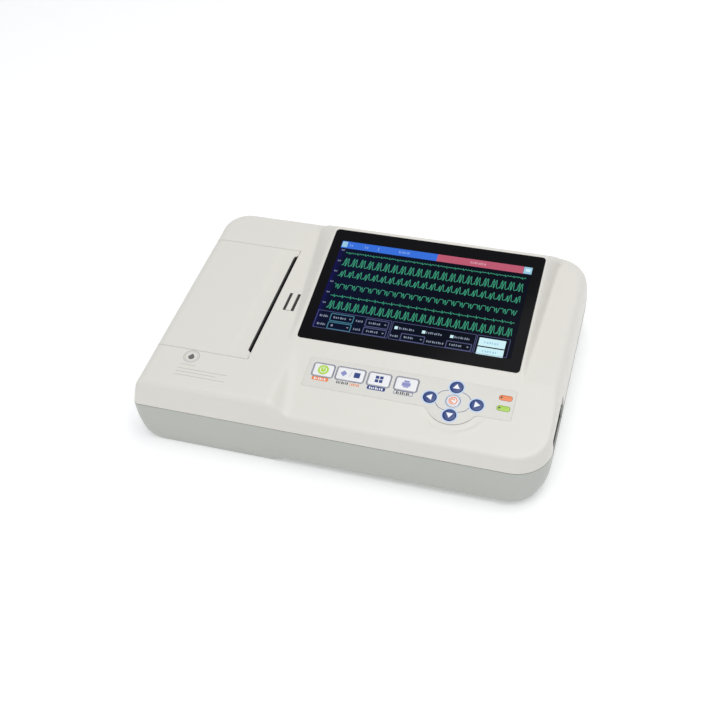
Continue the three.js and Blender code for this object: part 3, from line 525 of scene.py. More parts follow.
def mixed(tree, mask, a, b):
    """Colour a where the mask is 0 and b where it is 1."""
    node = add_node(tree, "ShaderNodeMix", data_type="RGBA")
    tree.links.new(mask, node.inputs[0])
    for socket, value in ((node.inputs[6], a), (node.inputs[7], b)):
        if isinstance(value, tuple):
            socket.default_value = (*value, 1)
        else:
            tree.links.new(value, socket)
    return node.outputs[2]


def ranged(tree, value, low, high):
    node = wired(tree, add_node(tree, "ShaderNodeMapRange"), Value=value, To_Min=low, To_Max=high)
    return node.outputs["Result"]


def base_material(name):
    material = bpy.data.materials.new(name)
    material.use_nodes = True
    tree = material.node_tree
    shader = tree.nodes["Principled BSDF"]
    place = add_node(tree, "ShaderNodeTexCoord")
    return material, tree, shader, place.outputs["Object"]


def shade(colour, factor):
    return tuple(min(1.0, c * factor) for c in colour)


def add_bump(tree, shader, height, strength, distance):
    bump = wired(tree, add_node(tree, "ShaderNodeBump"), Strength=strength, Distance=distance, Height=height)
    wired(tree, shader, Normal=bump.outputs["Normal"])


def moulded(name, colour, roughness=0.42, grain=2600.0, depth=0.05, dust=0.12, wear=0.35, coat=0.0,
            mottle=0.045):
    """Moulded plastic: slightly cloudy colour, spark texture, rubbed edges and a little dust."""
    material, tree, shader, vector = base_material(name)
    clouds = noise(tree, vector, 9.0, 4.0)
    cloudy = mixed(tree, clouds, shade(colour, 1 - mottle), shade(colour, 1 + mottle))
    worn = shared(tree, "wear", vector, Amount=wear)
    rubbed = mixed(tree, worn.outputs["Mask"], cloudy, shade(colour, 1.25))
    dusty = shared(tree, "dust", vector, Amount=dust)
    final = mixed(tree, dusty.outputs["Mask"], rubbed, (0.62, 0.60, 0.56))
    texture = shared(tree, "grain", vector, Scale=grain)
    gloss = ranged(tree, texture.outputs["Gloss mask"], roughness - 0.07, roughness + 0.09)
    wired(tree, shader, Base_Color=final, Roughness=gloss)
    add_bump(tree, shader, texture.outputs["Height"], 0.35, depth * MM)
    if coat:
        wired(tree, shader, Coat_Weight=coat, Coat_Roughness=0.2)
    return material


def printed(name, colour, roughness=0.5, mottle=0.06):
    """Screen-printed ink: dense, with a trace of uneven cover."""
    material, tree, shader, vector = base_material(name)
    cover = noise(tree, vector, 700.0, 3.0)
    wired(tree, shader, Base_Color=mixed(tree, cover, shade(colour, 1 - mottle), shade(colour, 1 + mottle)),
          Roughness=ranged(tree, cover, roughness - 0.05, roughness + 0.05))
    add_bump(tree, shader, cover, 0.15, 0.01 * MM)
    return material


def metal(name, colour, roughness=0.32, stretch=(3000.0, 40.0, 3000.0), wear=0.2):
    """Plated or machined metal with fine lines and dulled patches."""
    material, tree, shader, vector = base_material(name)
    lines = shared(tree, "brushed", vector, Stretch=stretch)
    dull = noise(tree, vector, 45.0, 5.0)
    base = mixed(tree, dull, shade(colour, 0.82), shade(colour, 1.06))
    worn = shared(tree, "wear", vector, Amount=wear)
    wired(tree, shader, Metallic=1.0, Base_Color=mixed(tree, worn.outputs["Mask"], base, shade(colour, 1.2)),
          Roughness=ranged(tree, lines.outputs["Mask"], roughness - 0.06, roughness + 0.14))
    add_bump(tree, shader, lines.outputs["Height"], 0.2, 0.02 * MM)
    return material


def rubber_material(name, colour=(0.028, 0.028, 0.03)):
    material, tree, shader, vector = base_material(name)
    bloom = noise(tree, vector, 60.0, 5.0)
    wired(tree, shader, Base_Color=mixed(tree, bloom, shade(colour, 0.85), shade(colour, 1.5)),
          Roughness=ranged(tree, bloom, 0.68, 0.86))
    texture = shared(tree, "grain", vector, Scale=3200.0)
    add_bump(tree, shader, texture.outputs["Height"], 0.4, 0.04 * MM)
    return material


def board_material(name):
    """Solder mask over copper: traces and pads under green lacquer."""
    material, tree, shader, vector = base_material(name)
    cells = add_node(tree, "ShaderNodeTexVoronoi", distance="MANHATTAN")
    wired(tree, cells, Vector=vector, Scale=240.0)
    copper = maths(tree, "LESS_THAN", cells.outputs["Distance"], 0.28)
    wired(tree, shader, Base_Color=mixed(tree, copper, (0.012, 0.085, 0.035), (0.03, 0.17, 0.07)),
          Roughness=ranged(tree, noise(tree, vector, 300.0), 0.3, 0.45))
    add_bump(tree, shader, copper, 0.3, 0.03 * MM)
    return material


def paper_material(name):
    """Thermal chart paper: smooth white with faint fibres."""
    material, tree, shader, vector = base_material(name)
    fibres = noise(tree, vector, 1500.0, 4.0)
    wired(tree, shader, Base_Color=mixed(tree, fibres, (0.80, 0.77, 0.72), (0.90, 0.88, 0.84)),
          Roughness=ranged(tree, fibres, 0.7, 0.85))
    add_bump(tree, shader, fibres, 0.2, 0.02 * MM)
    return material


def glowing(name, colour, strength):
    """A lit part of the picture: its colour, with the panel's rows of dots."""
    material, tree, shader, vector = base_material(name)
    rows = add_node(tree, "ShaderNodeTexWave", wave_type="BANDS", bands_direction="Y")
    wired(tree, rows, Vector=vector, Scale=1750.0)
    lit = ranged(tree, rows.outputs["Fac"], 0.0, 1.0)
    wired(tree, shader, Emission_Color=mixed(tree, lit, shade(colour, 0.9), shade(colour, 1.08)),
          Base_Color=mixed(tree, lit, (0.004, 0.004, 0.006), (0.008, 0.008, 0.01)),
          Emission_Strength=strength, Roughness=0.16, Specular_IOR_Level=0.03)
    return material


def glass_black(name):
    """Cover glass with its back printed black: deep, glossy, with faint finger marks."""
    material, tree, shader, vector = base_material(name)
    smears = noise(tree, vector, 28.0, 6.0, 0.65)
    wired(tree, shader, Base_Color=mixed(tree, smears, (0.0035, 0.0035, 0.004), (0.006, 0.006, 0.007)),
          Roughness=ranged(tree, smears, 0.05, 0.14), Specular_IOR_Level=0.07)
    return material


def picture_material(name, glow):
    """The picture's ground: navy along the left edge, fading to nearly black on the right."""
    material, tree, shader, vector = base_material(name)
    split = wired(tree, add_node(tree, "ShaderNodeSeparateXYZ"), Vector=vector)
    steps = []
    for first, last in ((-78, 30), (-77, -71)):
        step = add_node(tree, "ShaderNodeMapRange", interpolation_type="SMOOTHSTEP")
        wired(tree, step, Value=split.outputs["X"], From_Min=(CONSOLE[0] + first) * MM,
              From_Max=(CONSOLE[0] + last) * MM)
        steps.append(step.outputs["Result"])
    ground = mixed(tree, steps[0], (0.0008, 0.0030, 0.020), (0.0004, 0.0012, 0.004))
    lit = mixed(tree, steps[1], (0.006, 0.004, 0.075), ground)
    grain = noise(tree, vector, 260.0, 3.0)
    wired(tree, shader, Emission_Color=mixed(tree, ranged(tree, grain, 0.0, 0.35), lit, (0.0, 0.004, 0.012)),
          Emission_Strength=glow, Base_Color=mixed(tree, grain, (0.002, 0.002, 0.004), (0.004, 0.004, 0.007)),
          Roughness=0.12, Specular_IOR_Level=0.03)
    return material


MATERIALS = {}


def make_materials():
    """Every finish of the machine, made once and kept by name."""
    case, display, keypad = settings().ecg_case, settings().ecg_display, settings().ecg_keypad
    ivory, grey = tuple(case.ivory), tuple(case.grey)
    glow = display.glow
    MATERIALS.update(
        ivory=moulded("Ivory ABS", ivory, 0.40, 2600.0, 0.05, 0.06, 0.30, coat=0.12, mottle=0.02),
        ivory_inner=moulded("Ivory ABS inside", shade(ivory, 0.9), 0.5, 1800.0, 0.07, 0.1, 0.1),
        grey=moulded("Grey ABS", grey, 0.46, 2400.0, 0.06, 0.08, 0.35, mottle=0.03),
        film=moulded("Printed film", tuple(keypad.film), 0.46, 3400.0, 0.02, 0.04, 0.2, mottle=0.02),
        key_white=moulded("Key white", (0.82, 0.82, 0.84), 0.34, 3000.0, 0.02, 0.04, 0.25, 0.2, 0.015),
        key_blue=moulded("Key blue", tuple(keypad.blue), 0.34, 3000.0, 0.02, 0.02, 0.25, 0.25, 0.08),
        bezel=moulded("Dark connector bezel", (0.045, 0.046, 0.045), 0.5, 2000.0, 0.06, 0.08, 0.3),
        black=moulded("Black nylon", (0.008, 0.008, 0.009), 0.6, 2200.0, 0.06, 0.05, 0.4),
        nylon=moulded("Natural acetal", (0.74, 0.71, 0.64), 0.42, 1500.0, 0.03, 0.05, 0.2),
        ink=printed("Ink outline", tuple(keypad.ink)),
        ink_blue=printed("Ink blue", tuple(keypad.blue)),
        ink_orange=printed("Ink orange", tuple(keypad.orange)),
        ink_green=printed("Ink green", tuple(keypad.green)),
        ink_white=printed("Ink white", (0.86, 0.87, 0.90)),
        ink_lilac=printed("Ink lilac", (0.24, 0.26, 0.52)),
        ink_halo=printed("Ink pale blue", (0.50, 0.64, 0.88)),
        ink_grey=printed("Ink grey", (0.42, 0.41, 0.40)),
        ink_dark=printed("Ink dark", (0.05, 0.05, 0.06)),
        ink_mid=printed("Ink mid grey", (0.14, 0.13, 0.13)),
        steel=metal("Zinc-plated steel", (0.56, 0.57, 0.58)),
        tin=metal("Tinned shell", (0.60, 0.61, 0.62), 0.28, (900.0, 900.0, 60.0)),
        brass=metal("Brass", (0.60, 0.42, 0.16), 0.3, (60.0, 2500.0, 2500.0)),
        gold=metal("Gold contact", (0.75, 0.52, 0.16), 0.25, (60.0, 2500.0, 2500.0)),
        rubber=rubber_material("Rubber"),
        board=board_material("Circuit board"),
        paper=paper_material("Chart paper"),
        sleeve=moulded("Battery sleeve", (0.02, 0.06, 0.22), 0.3, 900.0, 0.03, 0.05, 0.2, coat=0.3),
        glass=glass_black("Black cover glass"),
        picture=picture_material("Picture ground", glow),
        lit_trace=glowing("Picture trace", tuple(display.trace), 0.85 * glow),
        lit_blue=glowing("Picture blue", tuple(display.bar_left), 1.0 * glow),
        lit_red=glowing("Picture red", tuple(display.bar_right), 1.0 * glow),
        lit_cyan=glowing("Picture cyan", (0.32, 0.58, 0.75), 1.0 * glow),
        lit_white=glowing("Picture white", (0.62, 0.88, 0.95), 1.0 * glow),
        lit_pale=glowing("Picture pale blue", (0.20, 0.36, 0.80), 1.0 * glow),
        lit_rose=glowing("Picture rose", (0.66, 0.34, 0.42), 1.0 * glow),
        lit_line=glowing("Picture line", (0.10, 0.115, 0.26), 0.9 * glow),
        lit_teal=glowing("Picture teal", (0.06, 0.22, 0.30), 0.9 * glow),
        lit_lilac=glowing("Picture lilac", (0.09, 0.10, 0.22), 0.9 * glow),
        lit_label=glowing("Picture label", (0.27, 0.32, 0.42), 0.9 * glow),
        amber=moulded("Amber lens", (0.80, 0.20, 0.05), 0.25, 2800.0, 0.02, 0.02, 0.2, coat=0.4, mottle=0.08),
        green=moulded("Green lens", (0.36, 0.60, 0.05), 0.25, 2800.0, 0.02, 0.02, 0.2, coat=0.4, mottle=0.08),
    )


# ---------------------------------------------------------------- the case's outer skin
FIELD_STEP = 0.5
FIELD_MARGIN = 30
SOFT_CREASE, CRISP_CREASE = 2.4, 0.85  # the keypad's creases are softer than the display's
FIELD = {}


def gaussian_taps(sigma):
    reach = int(4 * sigma) + 1
    taps = np.exp(-0.5 * (np.arange(-reach, reach + 1) / sigma) ** 2)
    return taps / taps.sum()


def blurred(field, sigma):
    """A height field with its creases rounded; planes stay as they are."""
    taps = gaussian_taps(sigma / FIELD_STEP)
    for axis in (0, 1):
        field = np.apply_along_axis(lambda row: np.convolve(row, taps, "same"), axis, field)
    return field


def top_faces(x, y):
    """The top of the case with sharp creases: deck, keypad plane with its ramp, and the display's wedge."""
    console = console_z(y)
    keypad = np.minimum(DECK_Z, np.maximum(console, DECK_Z - (x - RAMP_X) / RAMP_SLOPE))
    rise = np.maximum(console - DECK_Z, 0)
    foot = np.interp(y, [-40, 100], [-52.4, -69])
    right_foot = np.interp(y, [-40, 100], [127.4, 132.4])
    left = DECK_Z + (x - foot) * np.maximum(rise / (WEDGE_LEFT - foot), 0.7)
    right = DECK_Z + (right_foot - x) * np.maximum(rise / (right_foot - WEDGE_RIGHT), 1.2)
    back_rise = console_z(WEDGE_BACK) - DECK_Z
    back = DECK_Z + (WEDGE_FOOT_BACK - y) / (WEDGE_FOOT_BACK - WEDGE_BACK) * back_rise
    wedge = np.minimum(np.minimum(console, left), np.minimum(right, back))
    return np.where(y < CONSOLE_LEVEL, keypad, np.maximum(DECK_Z, wedge))


def make_field():
    xs = np.arange(-HALF_X - FIELD_MARGIN, HALF_X + FIELD_MARGIN, FIELD_STEP)
    ys = np.arange(-HALF_Y - FIELD_MARGIN, HALF_Y + FIELD_MARGIN, FIELD_STEP)
    x, y = np.meshgrid(xs, ys, indexing="ij")
    sharp = top_faces(x, y)
    soft, crisp = (blurred(sharp, sigma) for sigma in (SOFT_CREASE, CRISP_CREASE))
    share = eased((CONSOLE_LEVEL + 3 - y) / 6)
    field = crisp * (1 - share) + soft * share
    FIELD.update(x=xs, y=ys, z=field - crescent(x, y))


def crescent(x, y):
    """Depth of the shallow crescent in front of the arrow keys, with its groove and raised lip."""
    pad_u, pad_v = console_place("key_centre")
    pad_x, pad_y = CONSOLE[0] + pad_u + 1, CONSOLE[1] + (pad_v + 1) * math.cos(TILT)
    away = np.hypot(x - pad_x, y - pad_y)
    angle = np.degrees(np.arctan2(y - pad_y, x - pad_x))
    window = np.clip((angle + 150) / 30, 0, 1) * np.clip((-20 - angle) / 25, 0, 1)
    groove = np.exp(-((away - 24.8) / 1.2) ** 2)
    dish = 1 / (1 + np.exp((away - 25.6) / 0.5))
    lip = np.exp(-((away - 27.0) / 1.3) ** 2)
    return window * (0.35 * groove + 0.6 * dish - 0.3 * lip)


def top_z(x, y):
    """Height of the case's top at points of its plan."""
    x, y = np.asarray(x, float), np.asarray(y, float)
    fx = np.clip((x - FIELD["x"][0]) / FIELD_STEP, 0, len(FIELD["x"]) - 2)
    fy = np.clip((y - FIELD["y"][0]) / FIELD_STEP, 0, len(FIELD["y"]) - 2)
    ix, iy = fx.astype(int), fy.astype(int)
    tx, ty = fx - ix, fy - iy
    z = FIELD["z"]
    low = z[ix, iy] * (1 - tx) + z[ix + 1, iy] * tx
    high = z[ix, iy + 1] * (1 - tx) + z[ix + 1, iy + 1] * tx
    return low * (1 - ty) + high * ty


def corner_point(corner, angle, insets):
    """A point of a rounded corner of the case's plan."""
    left, right, front, back = insets
    at_left, at_front = corner in (0, 3), corner in (0, 1)
    side, end = (left if at_left else right), (front if at_front else back)
    radius = max(CORNER_RADII[corner] - max(side, end) / 2, 2)
    x = (-HALF_X + side + radius) if at_left else (HALF_X - side - radius)
    y = (-HALF_Y + end + radius) if at_front else (HALF_Y - end - radius)
    return x + radius * math.cos(angle), y + radius * math.sin(angle)


def plan_point(column, insets):
    kind, index, value = column
    left, right, front, back = insets
    if kind == "corner":
        return corner_point(index, value, insets)
    if kind == "front":
        return value, -HALF_Y + front
    if kind == "right":
        return HALF_X - right, value
    if kind == "back":
        return value, HALF_Y - back
    return -HALF_X + left, value


def spaced(start, end, step):
    """Numbers from start to end, about a step apart, both ends included."""
    return np.linspace(start, end, max(2, int(round(abs(end - start) / step)) + 1))


def perimeter(left_values, corner_steps=12, step=3.0):
    """The columns of the case's skin, anticlockwise from the front left corner."""
    columns = []

    def corner(index, start):
        for angle in np.linspace(start, start + math.pi / 2, corner_steps + 1):
            columns.append(("corner", index, float(angle)))

    corner(0, math.pi)
    columns.extend(("front", 0, float(x)) for x in spaced(-137, 50, step))
    columns.extend(("front", 0, float(x)) for x in spaced(51.2, 120, 1.2))
    corner(1, 1.5 * math.pi)
    columns.extend(("right", 0, float(y)) for y in spaced(-69, 70, step))
    corner(2, 0)
    columns.extend(("back", 0, float(x)) for x in spaced(121, -125, step))
    corner(3, 0.5 * math.pi)
    columns.extend(("left", 0, float(y)) for y in left_values)
    return columns


def softened(line, sigma, step):
    """A line of even steps, smoothed, with its two ends held."""
    taps = gaussian_taps(sigma / step)
    reach = len(taps) // 2
    before = 2 * line[0] - line[reach:0:-1]
    after = 2 * line[-1] - line[-2:-reach - 2:-1]
    long = np.concatenate([before, line, after])
    return np.stack([np.convolve(long[:, i], taps, "valid") for i in range(3)], 1)


def arc_lengths(line):
    steps = np.linalg.norm(np.diff(line, axis=0), axis=1)
    return np.concatenate([[0], np.cumsum(steps)])


def at_lengths(line, lengths):
    along = arc_lengths(line)
    return np.stack([np.interp(lengths, along, line[:, i]) for i in range(3)], 1)


def skin_line(column):
    """The case's skin along one column, from the parting line up the wall and in over the top."""
    stations = np.array([row[1:] for row in UPPER_SECTIONS] + [(INNER_INSET,) * 4], float)
    heights = [row[0] for row in UPPER_SECTIONS] + [400]
    order = np.linspace(0, len(stations) - 1, 24 * (len(stations) - 1) + 1)
    insets = np.stack([np.interp(order, range(len(stations)), stations[:, i]) for i in range(4)], 1)
    plan = np.array([plan_point(column, row) for row in insets])
    wall = np.interp(order, range(len(stations)), heights)
    z = np.minimum(wall, top_z(plan[:, 0], plan[:, 1]))
    line = np.column_stack([plan, z])
    step = 0.25
    even = at_lengths(line, np.arange(0, arc_lengths(line)[-1], step))
    even[-1] = line[-1]
    return softened(even, settings().ecg_case.soft_edge / MM, step)


def length_at_height(line, z):
    """How far along a skin line its height first reaches z."""
    first = int(np.argmax(line[:, 2] >= z))
    if first == 0:
        return 0.0
    along = arc_lengths(line)
    share = (z - line[first - 1, 2]) / (line[first, 2] - line[first - 1, 2])
    return float(along[first - 1] + share * (along[first] - along[first - 1]))


WALL_ROWS = (SEAM_Z, SEAM_Z + 0.15, SEAM_Z + 0.4, 39.6, OPENING_LOW, 41.8, 42.4, 44.4, 46.6)
EDGE_LOOPS = (0.25, 0.6, 1.1)  # distances of the loops that round an opening's edge
UPPER_ROWS = 17
FAR = 9  # stands for a point that an edge doesn't reach


def wall_rows(line):
    """Points of a skin line at the rows of the wall and then evenly to its end."""
    lengths = [length_at_height(line, z) for z in WALL_ROWS]
    lengths[0] = 0.0
    end = arc_lengths(line)[-1]
    lengths.extend(np.linspace(lengths[-1], end, UPPER_ROWS + 1)[1:])
    return at_lengths(line, lengths)


def plan_loop(outline):
    """An outline in the console plane as points of the case's plan."""
    return [tuple(on_console(u, v)[:2]) for u, v in outline]


def panel_outline(grow=0.0):
    """The printed panel: a strip whose front edge swells round the lowest arrow key."""
    left, right = PANEL_LEFT - grow, PANEL_RIGHT + grow
    front, back = PANEL_FRONT - grow, PANEL_BACK + grow
    radius = 1.6 + grow
    pad_u, pad_v = console_place("key_centre")
    bay, centre_v, fillet = 20.5 + grow, pad_v + 1, 5.0 - grow
    fillet_v = front - fillet
    reach = math.sqrt((bay + fillet) ** 2 - (fillet_v - centre_v) ** 2)
    lean = math.atan2(fillet_v - centre_v, reach)
    outline = arc(left + radius, front + radius, radius, math.pi, 1.5 * math.pi, 6)
    outline += [(x, front) for x in spaced(left + radius + 2, pad_u - reach - 2, 3)]
    outline += arc(pad_u - reach, fillet_v, fillet, math.pi / 2, -lean, 5)
    outline += arc(pad_u, centre_v, bay, math.pi - lean, 2 * math.pi + lean, 28)[1:-1]
    outline += arc(pad_u + reach, fillet_v, fillet, math.pi + lean, math.pi / 2, 5)
    outline += [(x, front) for x in spaced(pad_u + reach + 2, right - radius - 2, 3)]
    outline += arc(right - radius, front + radius, radius, 1.5 * math.pi, 2 * math.pi, 6)
    outline += arc(right - radius, back - radius, radius, 0, 0.5 * math.pi, 6)
    outline += [(x, back) for x in spaced(right - radius - 2, left + radius + 2, 3)]
    outline += arc(left + radius, back - radius, radius, 0.5 * math.pi, math.pi, 6)
    return outline


def long_rect(cx, cy, width, height, radius, step=3.0):
    """A rounded rectangle whose sides have points along them too."""
    x, y = width / 2, height / 2
    bottom = [(a, cy - y) for a in spaced(cx - x + radius, cx + x - radius, step)[1:-1]]
    right = [(cx + x, b) for b in spaced(cy - y + radius, cy + y - radius, step)[1:-1]]
    top = [(a, cy + y) for a in spaced(cx + x - radius, cx - x + radius, step)[1:-1]]
    left = [(cx - x, b) for b in spaced(cy + y - radius, cy - y + radius, step)[1:-1]]
    quarter = math.pi / 2
    return (arc(cx - x + radius, cy - y + radius, radius, 2 * quarter, 3 * quarter, 5) + bottom
            + arc(cx + x - radius, cy - y + radius, radius, 3 * quarter, 4 * quarter, 5) + right
            + arc(cx + x - radius, cy + y - radius, radius, 0, quarter, 5) + top
            + arc(cx - x + radius, cy + y - radius, radius, quarter, 2 * quarter, 5) + left)


def case_holes():
    """Each hole of the top as a function from a growth to its closed outline in plan."""
    low, high = node_box("release_button")
    seam = 0.15  # in front of the button and behind it

    def glass(grow):
        size = 0.6 + 2 * grow
        return plan_loop(long_rect(0, 0, GLASS_WIDTH + size, GLASS_HEIGHT + size, GLASS_RADIUS + grow))

    def panel(grow):
        return plan_loop(panel_outline(0.08 + grow))

    def button(grow):
        middle = (low + high) / 2
        width = BUTTON_RIGHT - BUTTON_LEFT + 2 * (BUTTON_GAP + grow)
        depth = BUTTON_BACK - BUTTON_FRONT + 2 * (seam + grow)
        return long_rect((BUTTON_LEFT + BUTTON_RIGHT) / 2, middle[1], width, depth, 0.5 + grow, 2.0)

    return glass, panel, button


BUTTON_FLANGE, BUTTON_GAP = 1.2, 2.1
CAP_FOOT, RIM_LOW, RIM_HIGH = 57, 57.2, 58.6  # heights of the button's cap and its flange
BUTTON_BOX = node_box("release_button")
BUTTON_LEFT, BUTTON_FRONT = BUTTON_BOX[0][:2] + (BUTTON_FLANGE + BUTTON_GAP, BUTTON_FLANGE)
BUTTON_RIGHT, BUTTON_BACK = BUTTON_BOX[1][:2] - (BUTTON_FLANGE + BUTTON_GAP, BUTTON_FLANGE)


def opening_line(start_x, grow=0.0, step=2.5):
    """The edge of the paper cover's opening on the deck, from its back left end round to the front left."""
    half, right = OPENING_HALF + grow, OPENING_RIGHT + grow
    back = [(x, half) for x in spaced(start_x, right, step)]
    side = [(right, y) for y in spaced(half, -half, step)[1:-1]]
    front = [(x, -half) for x in spaced(right, start_x, step)]
    return back + side + front


GRID_STEP, EDGE_CLEAR = 3.2, 0.75
FINE_X = ((-72, -44, 1.4), (55, 112, 1.2), (122, 137, 0.8))  # start, end and step where creases run
FINE_Y = ((-91, -78, 0.9), (-78, -68, 1.5), (-46, -33, 1.6), (75, 91, 1.2))


def graded(low, high, bands):
    """Grid lines from low to high, closer in the bands."""
    lines, at = [], low
    while at < high:
        lines.append(at)
        at += min([GRID_STEP] + [s for a, b, s in bands if a <= at < b])
    return np.array(lines)


def inside(points, polygon):
    """Which points lie in a closed polygon."""
    x, y = points[:, 0], points[:, 1]
    result = np.zeros(len(points), bool)
    poly = np.array(polygon)
    ahead = np.roll(poly, -1, axis=0)
    for (ax, ay), (bx, by) in zip(poly, ahead):
        if ay == by:
            continue
        crosses = ((ay > y) != (by > y)) & (x < (bx - ax) * (y - ay) / (by - ay) + ax)
        result ^= crosses
    return result


def distance_to(points, line, closed):
    """Distance from each point to an open or closed line in plan."""
    corners = np.array(line, float)
    ends = np.roll(corners, -1, axis=0) if closed else corners[1:]
    starts = corners if closed else corners[:-1]
    best = np.full(len(points), 1e9)
    for a, b in zip(starts, ends):
        along = b - a
        share = np.clip((points - a) @ along / max(along @ along, 1e-12), 0, 1)
        gap = points - (a + share[:, None] * along)
        best = np.minimum(best, np.hypot(gap[:, 0], gap[:, 1]))
    return best


def top_sheet(outer, holes, lines):
    """The top as triangles in plan: outer boundary, holes as lists of growing loops, and open lines."""
    points, edges = [], []

    def add(line, closed):
        start = len(points)
        points.extend(line)
        count = len(line)
        edges.extend((start + i, start + (i + 1) % count) for i in range(count if closed else count - 1))

    add(outer, True)
    for loops in holes:
        for loop in loops:
            add(loop, True)
    for line in lines:
        add(line, False)
    border = np.array(points)
    xs = graded(-HALF_X + INNER_INSET, HALF_X - INNER_INSET, FINE_X)
    ys = graded(-HALF_Y + INNER_INSET, HALF_Y - INNER_INSET, FINE_Y)
    grid = np.array([(x, y) for x in xs for y in ys])
    grid = grid[inside(grid, outer)]
    for loops in holes:
        grid = grid[~inside(grid, loops[-1])]
    near = np.full(len(grid), 1e9)
    for start in range(0, len(border), 200):
        part = border[start:start + 200]
        gaps = np.hypot(grid[:, None, 0] - part[None, :, 0], grid[:, None, 1] - part[None, :, 1])
        near = np.minimum(near, gaps.min(axis=1))
    grid = grid[near > EDGE_CLEAR]
    everything = [Vector(p) for p in points] + [Vector(p) for p in grid]
    verts, _, faces, _, _, _ = delaunay_2d_cdt(everything, edges, [], 0, 1e-6)
    verts = np.array([tuple(v) for v in verts])
    faces = np.array(faces)
    middles = verts[faces].mean(axis=1)
    keep = inside(middles, outer)
    for loops in holes:
        keep &= ~inside(middles, loops[0])
    return verts, faces[keep]


def round_over(points, normals, edges, amount):
    """Lowers points close to an edge along their normals."""
    for away in edges:
        near = np.clip(1 - away / EDGE_LOOPS[-1], 0, 1)
        points = points - normals * (amount * near ** 2)[:, None]
    return points


def mesh_of(points, faces):
    mesh = bpy.data.meshes.new("skin")
    mesh.from_pydata([tuple(p * MM) for p in points], [], [tuple(int(i) for i in f) for f in faces])
    return mesh


def welded(mesh, to_quads=True):
    bm = bmesh.new()
    bm.from_mesh(mesh)
    bmesh.ops.remove_doubles(bm, verts=bm.verts, dist=0.02 * MM)
    bmesh.ops.dissolve_degenerate(bm, edges=bm.edges, dist=0.005 * MM)
    bmesh.ops.recalc_face_normals(bm, faces=bm.faces)
    if to_quads:
        bmesh.ops.join_triangles(
            bm, faces=[f for f in bm.faces if len(f.verts) == 3],
            angle_face_threshold=math.radians(12), angle_shape_threshold=math.radians(40))
    up = sum(f.normal.z * f.calc_area() for f in bm.faces)
    if up < 0:
        bmesh.ops.reverse_faces(bm, faces=bm.faces)
    bm.to_mesh(mesh)
    bm.free()
    return mesh


def read_points(mesh):
    points = np.zeros(len(mesh.vertices) * 3)
    normals = np.zeros(len(mesh.vertices) * 3)
    mesh.vertices.foreach_get("co", points)
    mesh.vertex_normals.foreach_get("vector", normals)
    return points.reshape(-1, 3) / MM, normals.reshape(-1, 3)


def write_points(mesh, points):
    mesh.vertices.foreach_set("co", (points * MM).ravel())
    mesh.update()


def thickened(obj, thickness):
    wall = obj.modifiers.new("wall", "SOLIDIFY")
    wall.thickness = thickness * MM
    wall.offset = -1
    wall.use_rim = True
    return with_modifiers(obj)


def upper_skin():
    """The whole outer skin of the upper case, as an open sheet with its holes."""
    half = OPENING_HALF
    loops = [half + g for g in EDGE_LOOPS]
    back_values = list(spaced(74, half + 3, 3.0)) + loops[::-1] + [half]
    left_values = back_values + [-y for y in reversed(back_values)]
    left_values = left_values[:-1] + [-76.5, -79.5, -82.5, -85.5]
    columns = perimeter(left_values)
    rows = np.array([wall_rows(skin_line(c)) for c in columns])
    count, height = rows.shape[:2]
    start = next(i for i, c in enumerate(columns) if c[0] == "left" and c[2] == half)
    opening_row = WALL_ROWS.index(OPENING_LOW)
    faces = []
    for i in range(count):
        j = (i + 1) % count
        last = opening_row if i == start else height - 1
        here, there = i * height, j * height
        faces.extend((here + k, there + k, there + k + 1, here + k + 1) for k in range(last))
    wall_points = rows.reshape(-1, 3)

    ends = [tuple(p) for p in rows[:, -1, :2]]
    after, before = ends[:start + 1], ends[start + 1:]
    start_x = ends[start][0]
    outer = before + after + opening_line(start_x)[1:-1]
    holes = [[hole(g) for g in (0.0, *EDGE_LOOPS)] for hole in case_holes()]
    lines = [opening_line(start_x, g) for g in EDGE_LOOPS]
    plan, top_triangles = top_sheet(outer, holes, lines)
    top_points = np.column_stack([plan, top_z(plan[:, 0], plan[:, 1])])
    shift = len(wall_points)
    all_faces = faces + [tuple(f + shift) for f in top_triangles]
    mesh = welded(mesh_of(np.concatenate([wall_points, top_points]), all_faces))

    points, normals = read_points(mesh)
    drop = settings().ecg_case.edge_drop / MM
    plan = points[:, :2]
    on_top = points[:, 0] > -HALF_X + INNER_INSET - 0.5
    reach = EDGE_LOOPS[-1]
    edges = []
    for hole, share in zip(holes, (1.0, 0.3, 0.5)):  # the panel's and the button's edges are rounded less
        away = np.minimum(distance_to(plan, hole[0], True), reach)
        edges.append(np.where(on_top, reach - (reach - away) * share, FAR))
    edges.append(np.where(on_top, distance_to(plan, opening_line(start_x), False), FAR))
    beside = np.hypot(np.maximum(np.abs(plan[:, 1]) - half, 0), np.maximum(OPENING_LOW - points[:, 2], 0))
    edges.append(np.where(on_top, FAR, beside))
    edges.append((points[:, 2] - SEAM_Z) * 2)
    write_points(mesh, round_over(points, normals, edges, drop))
    return mesh


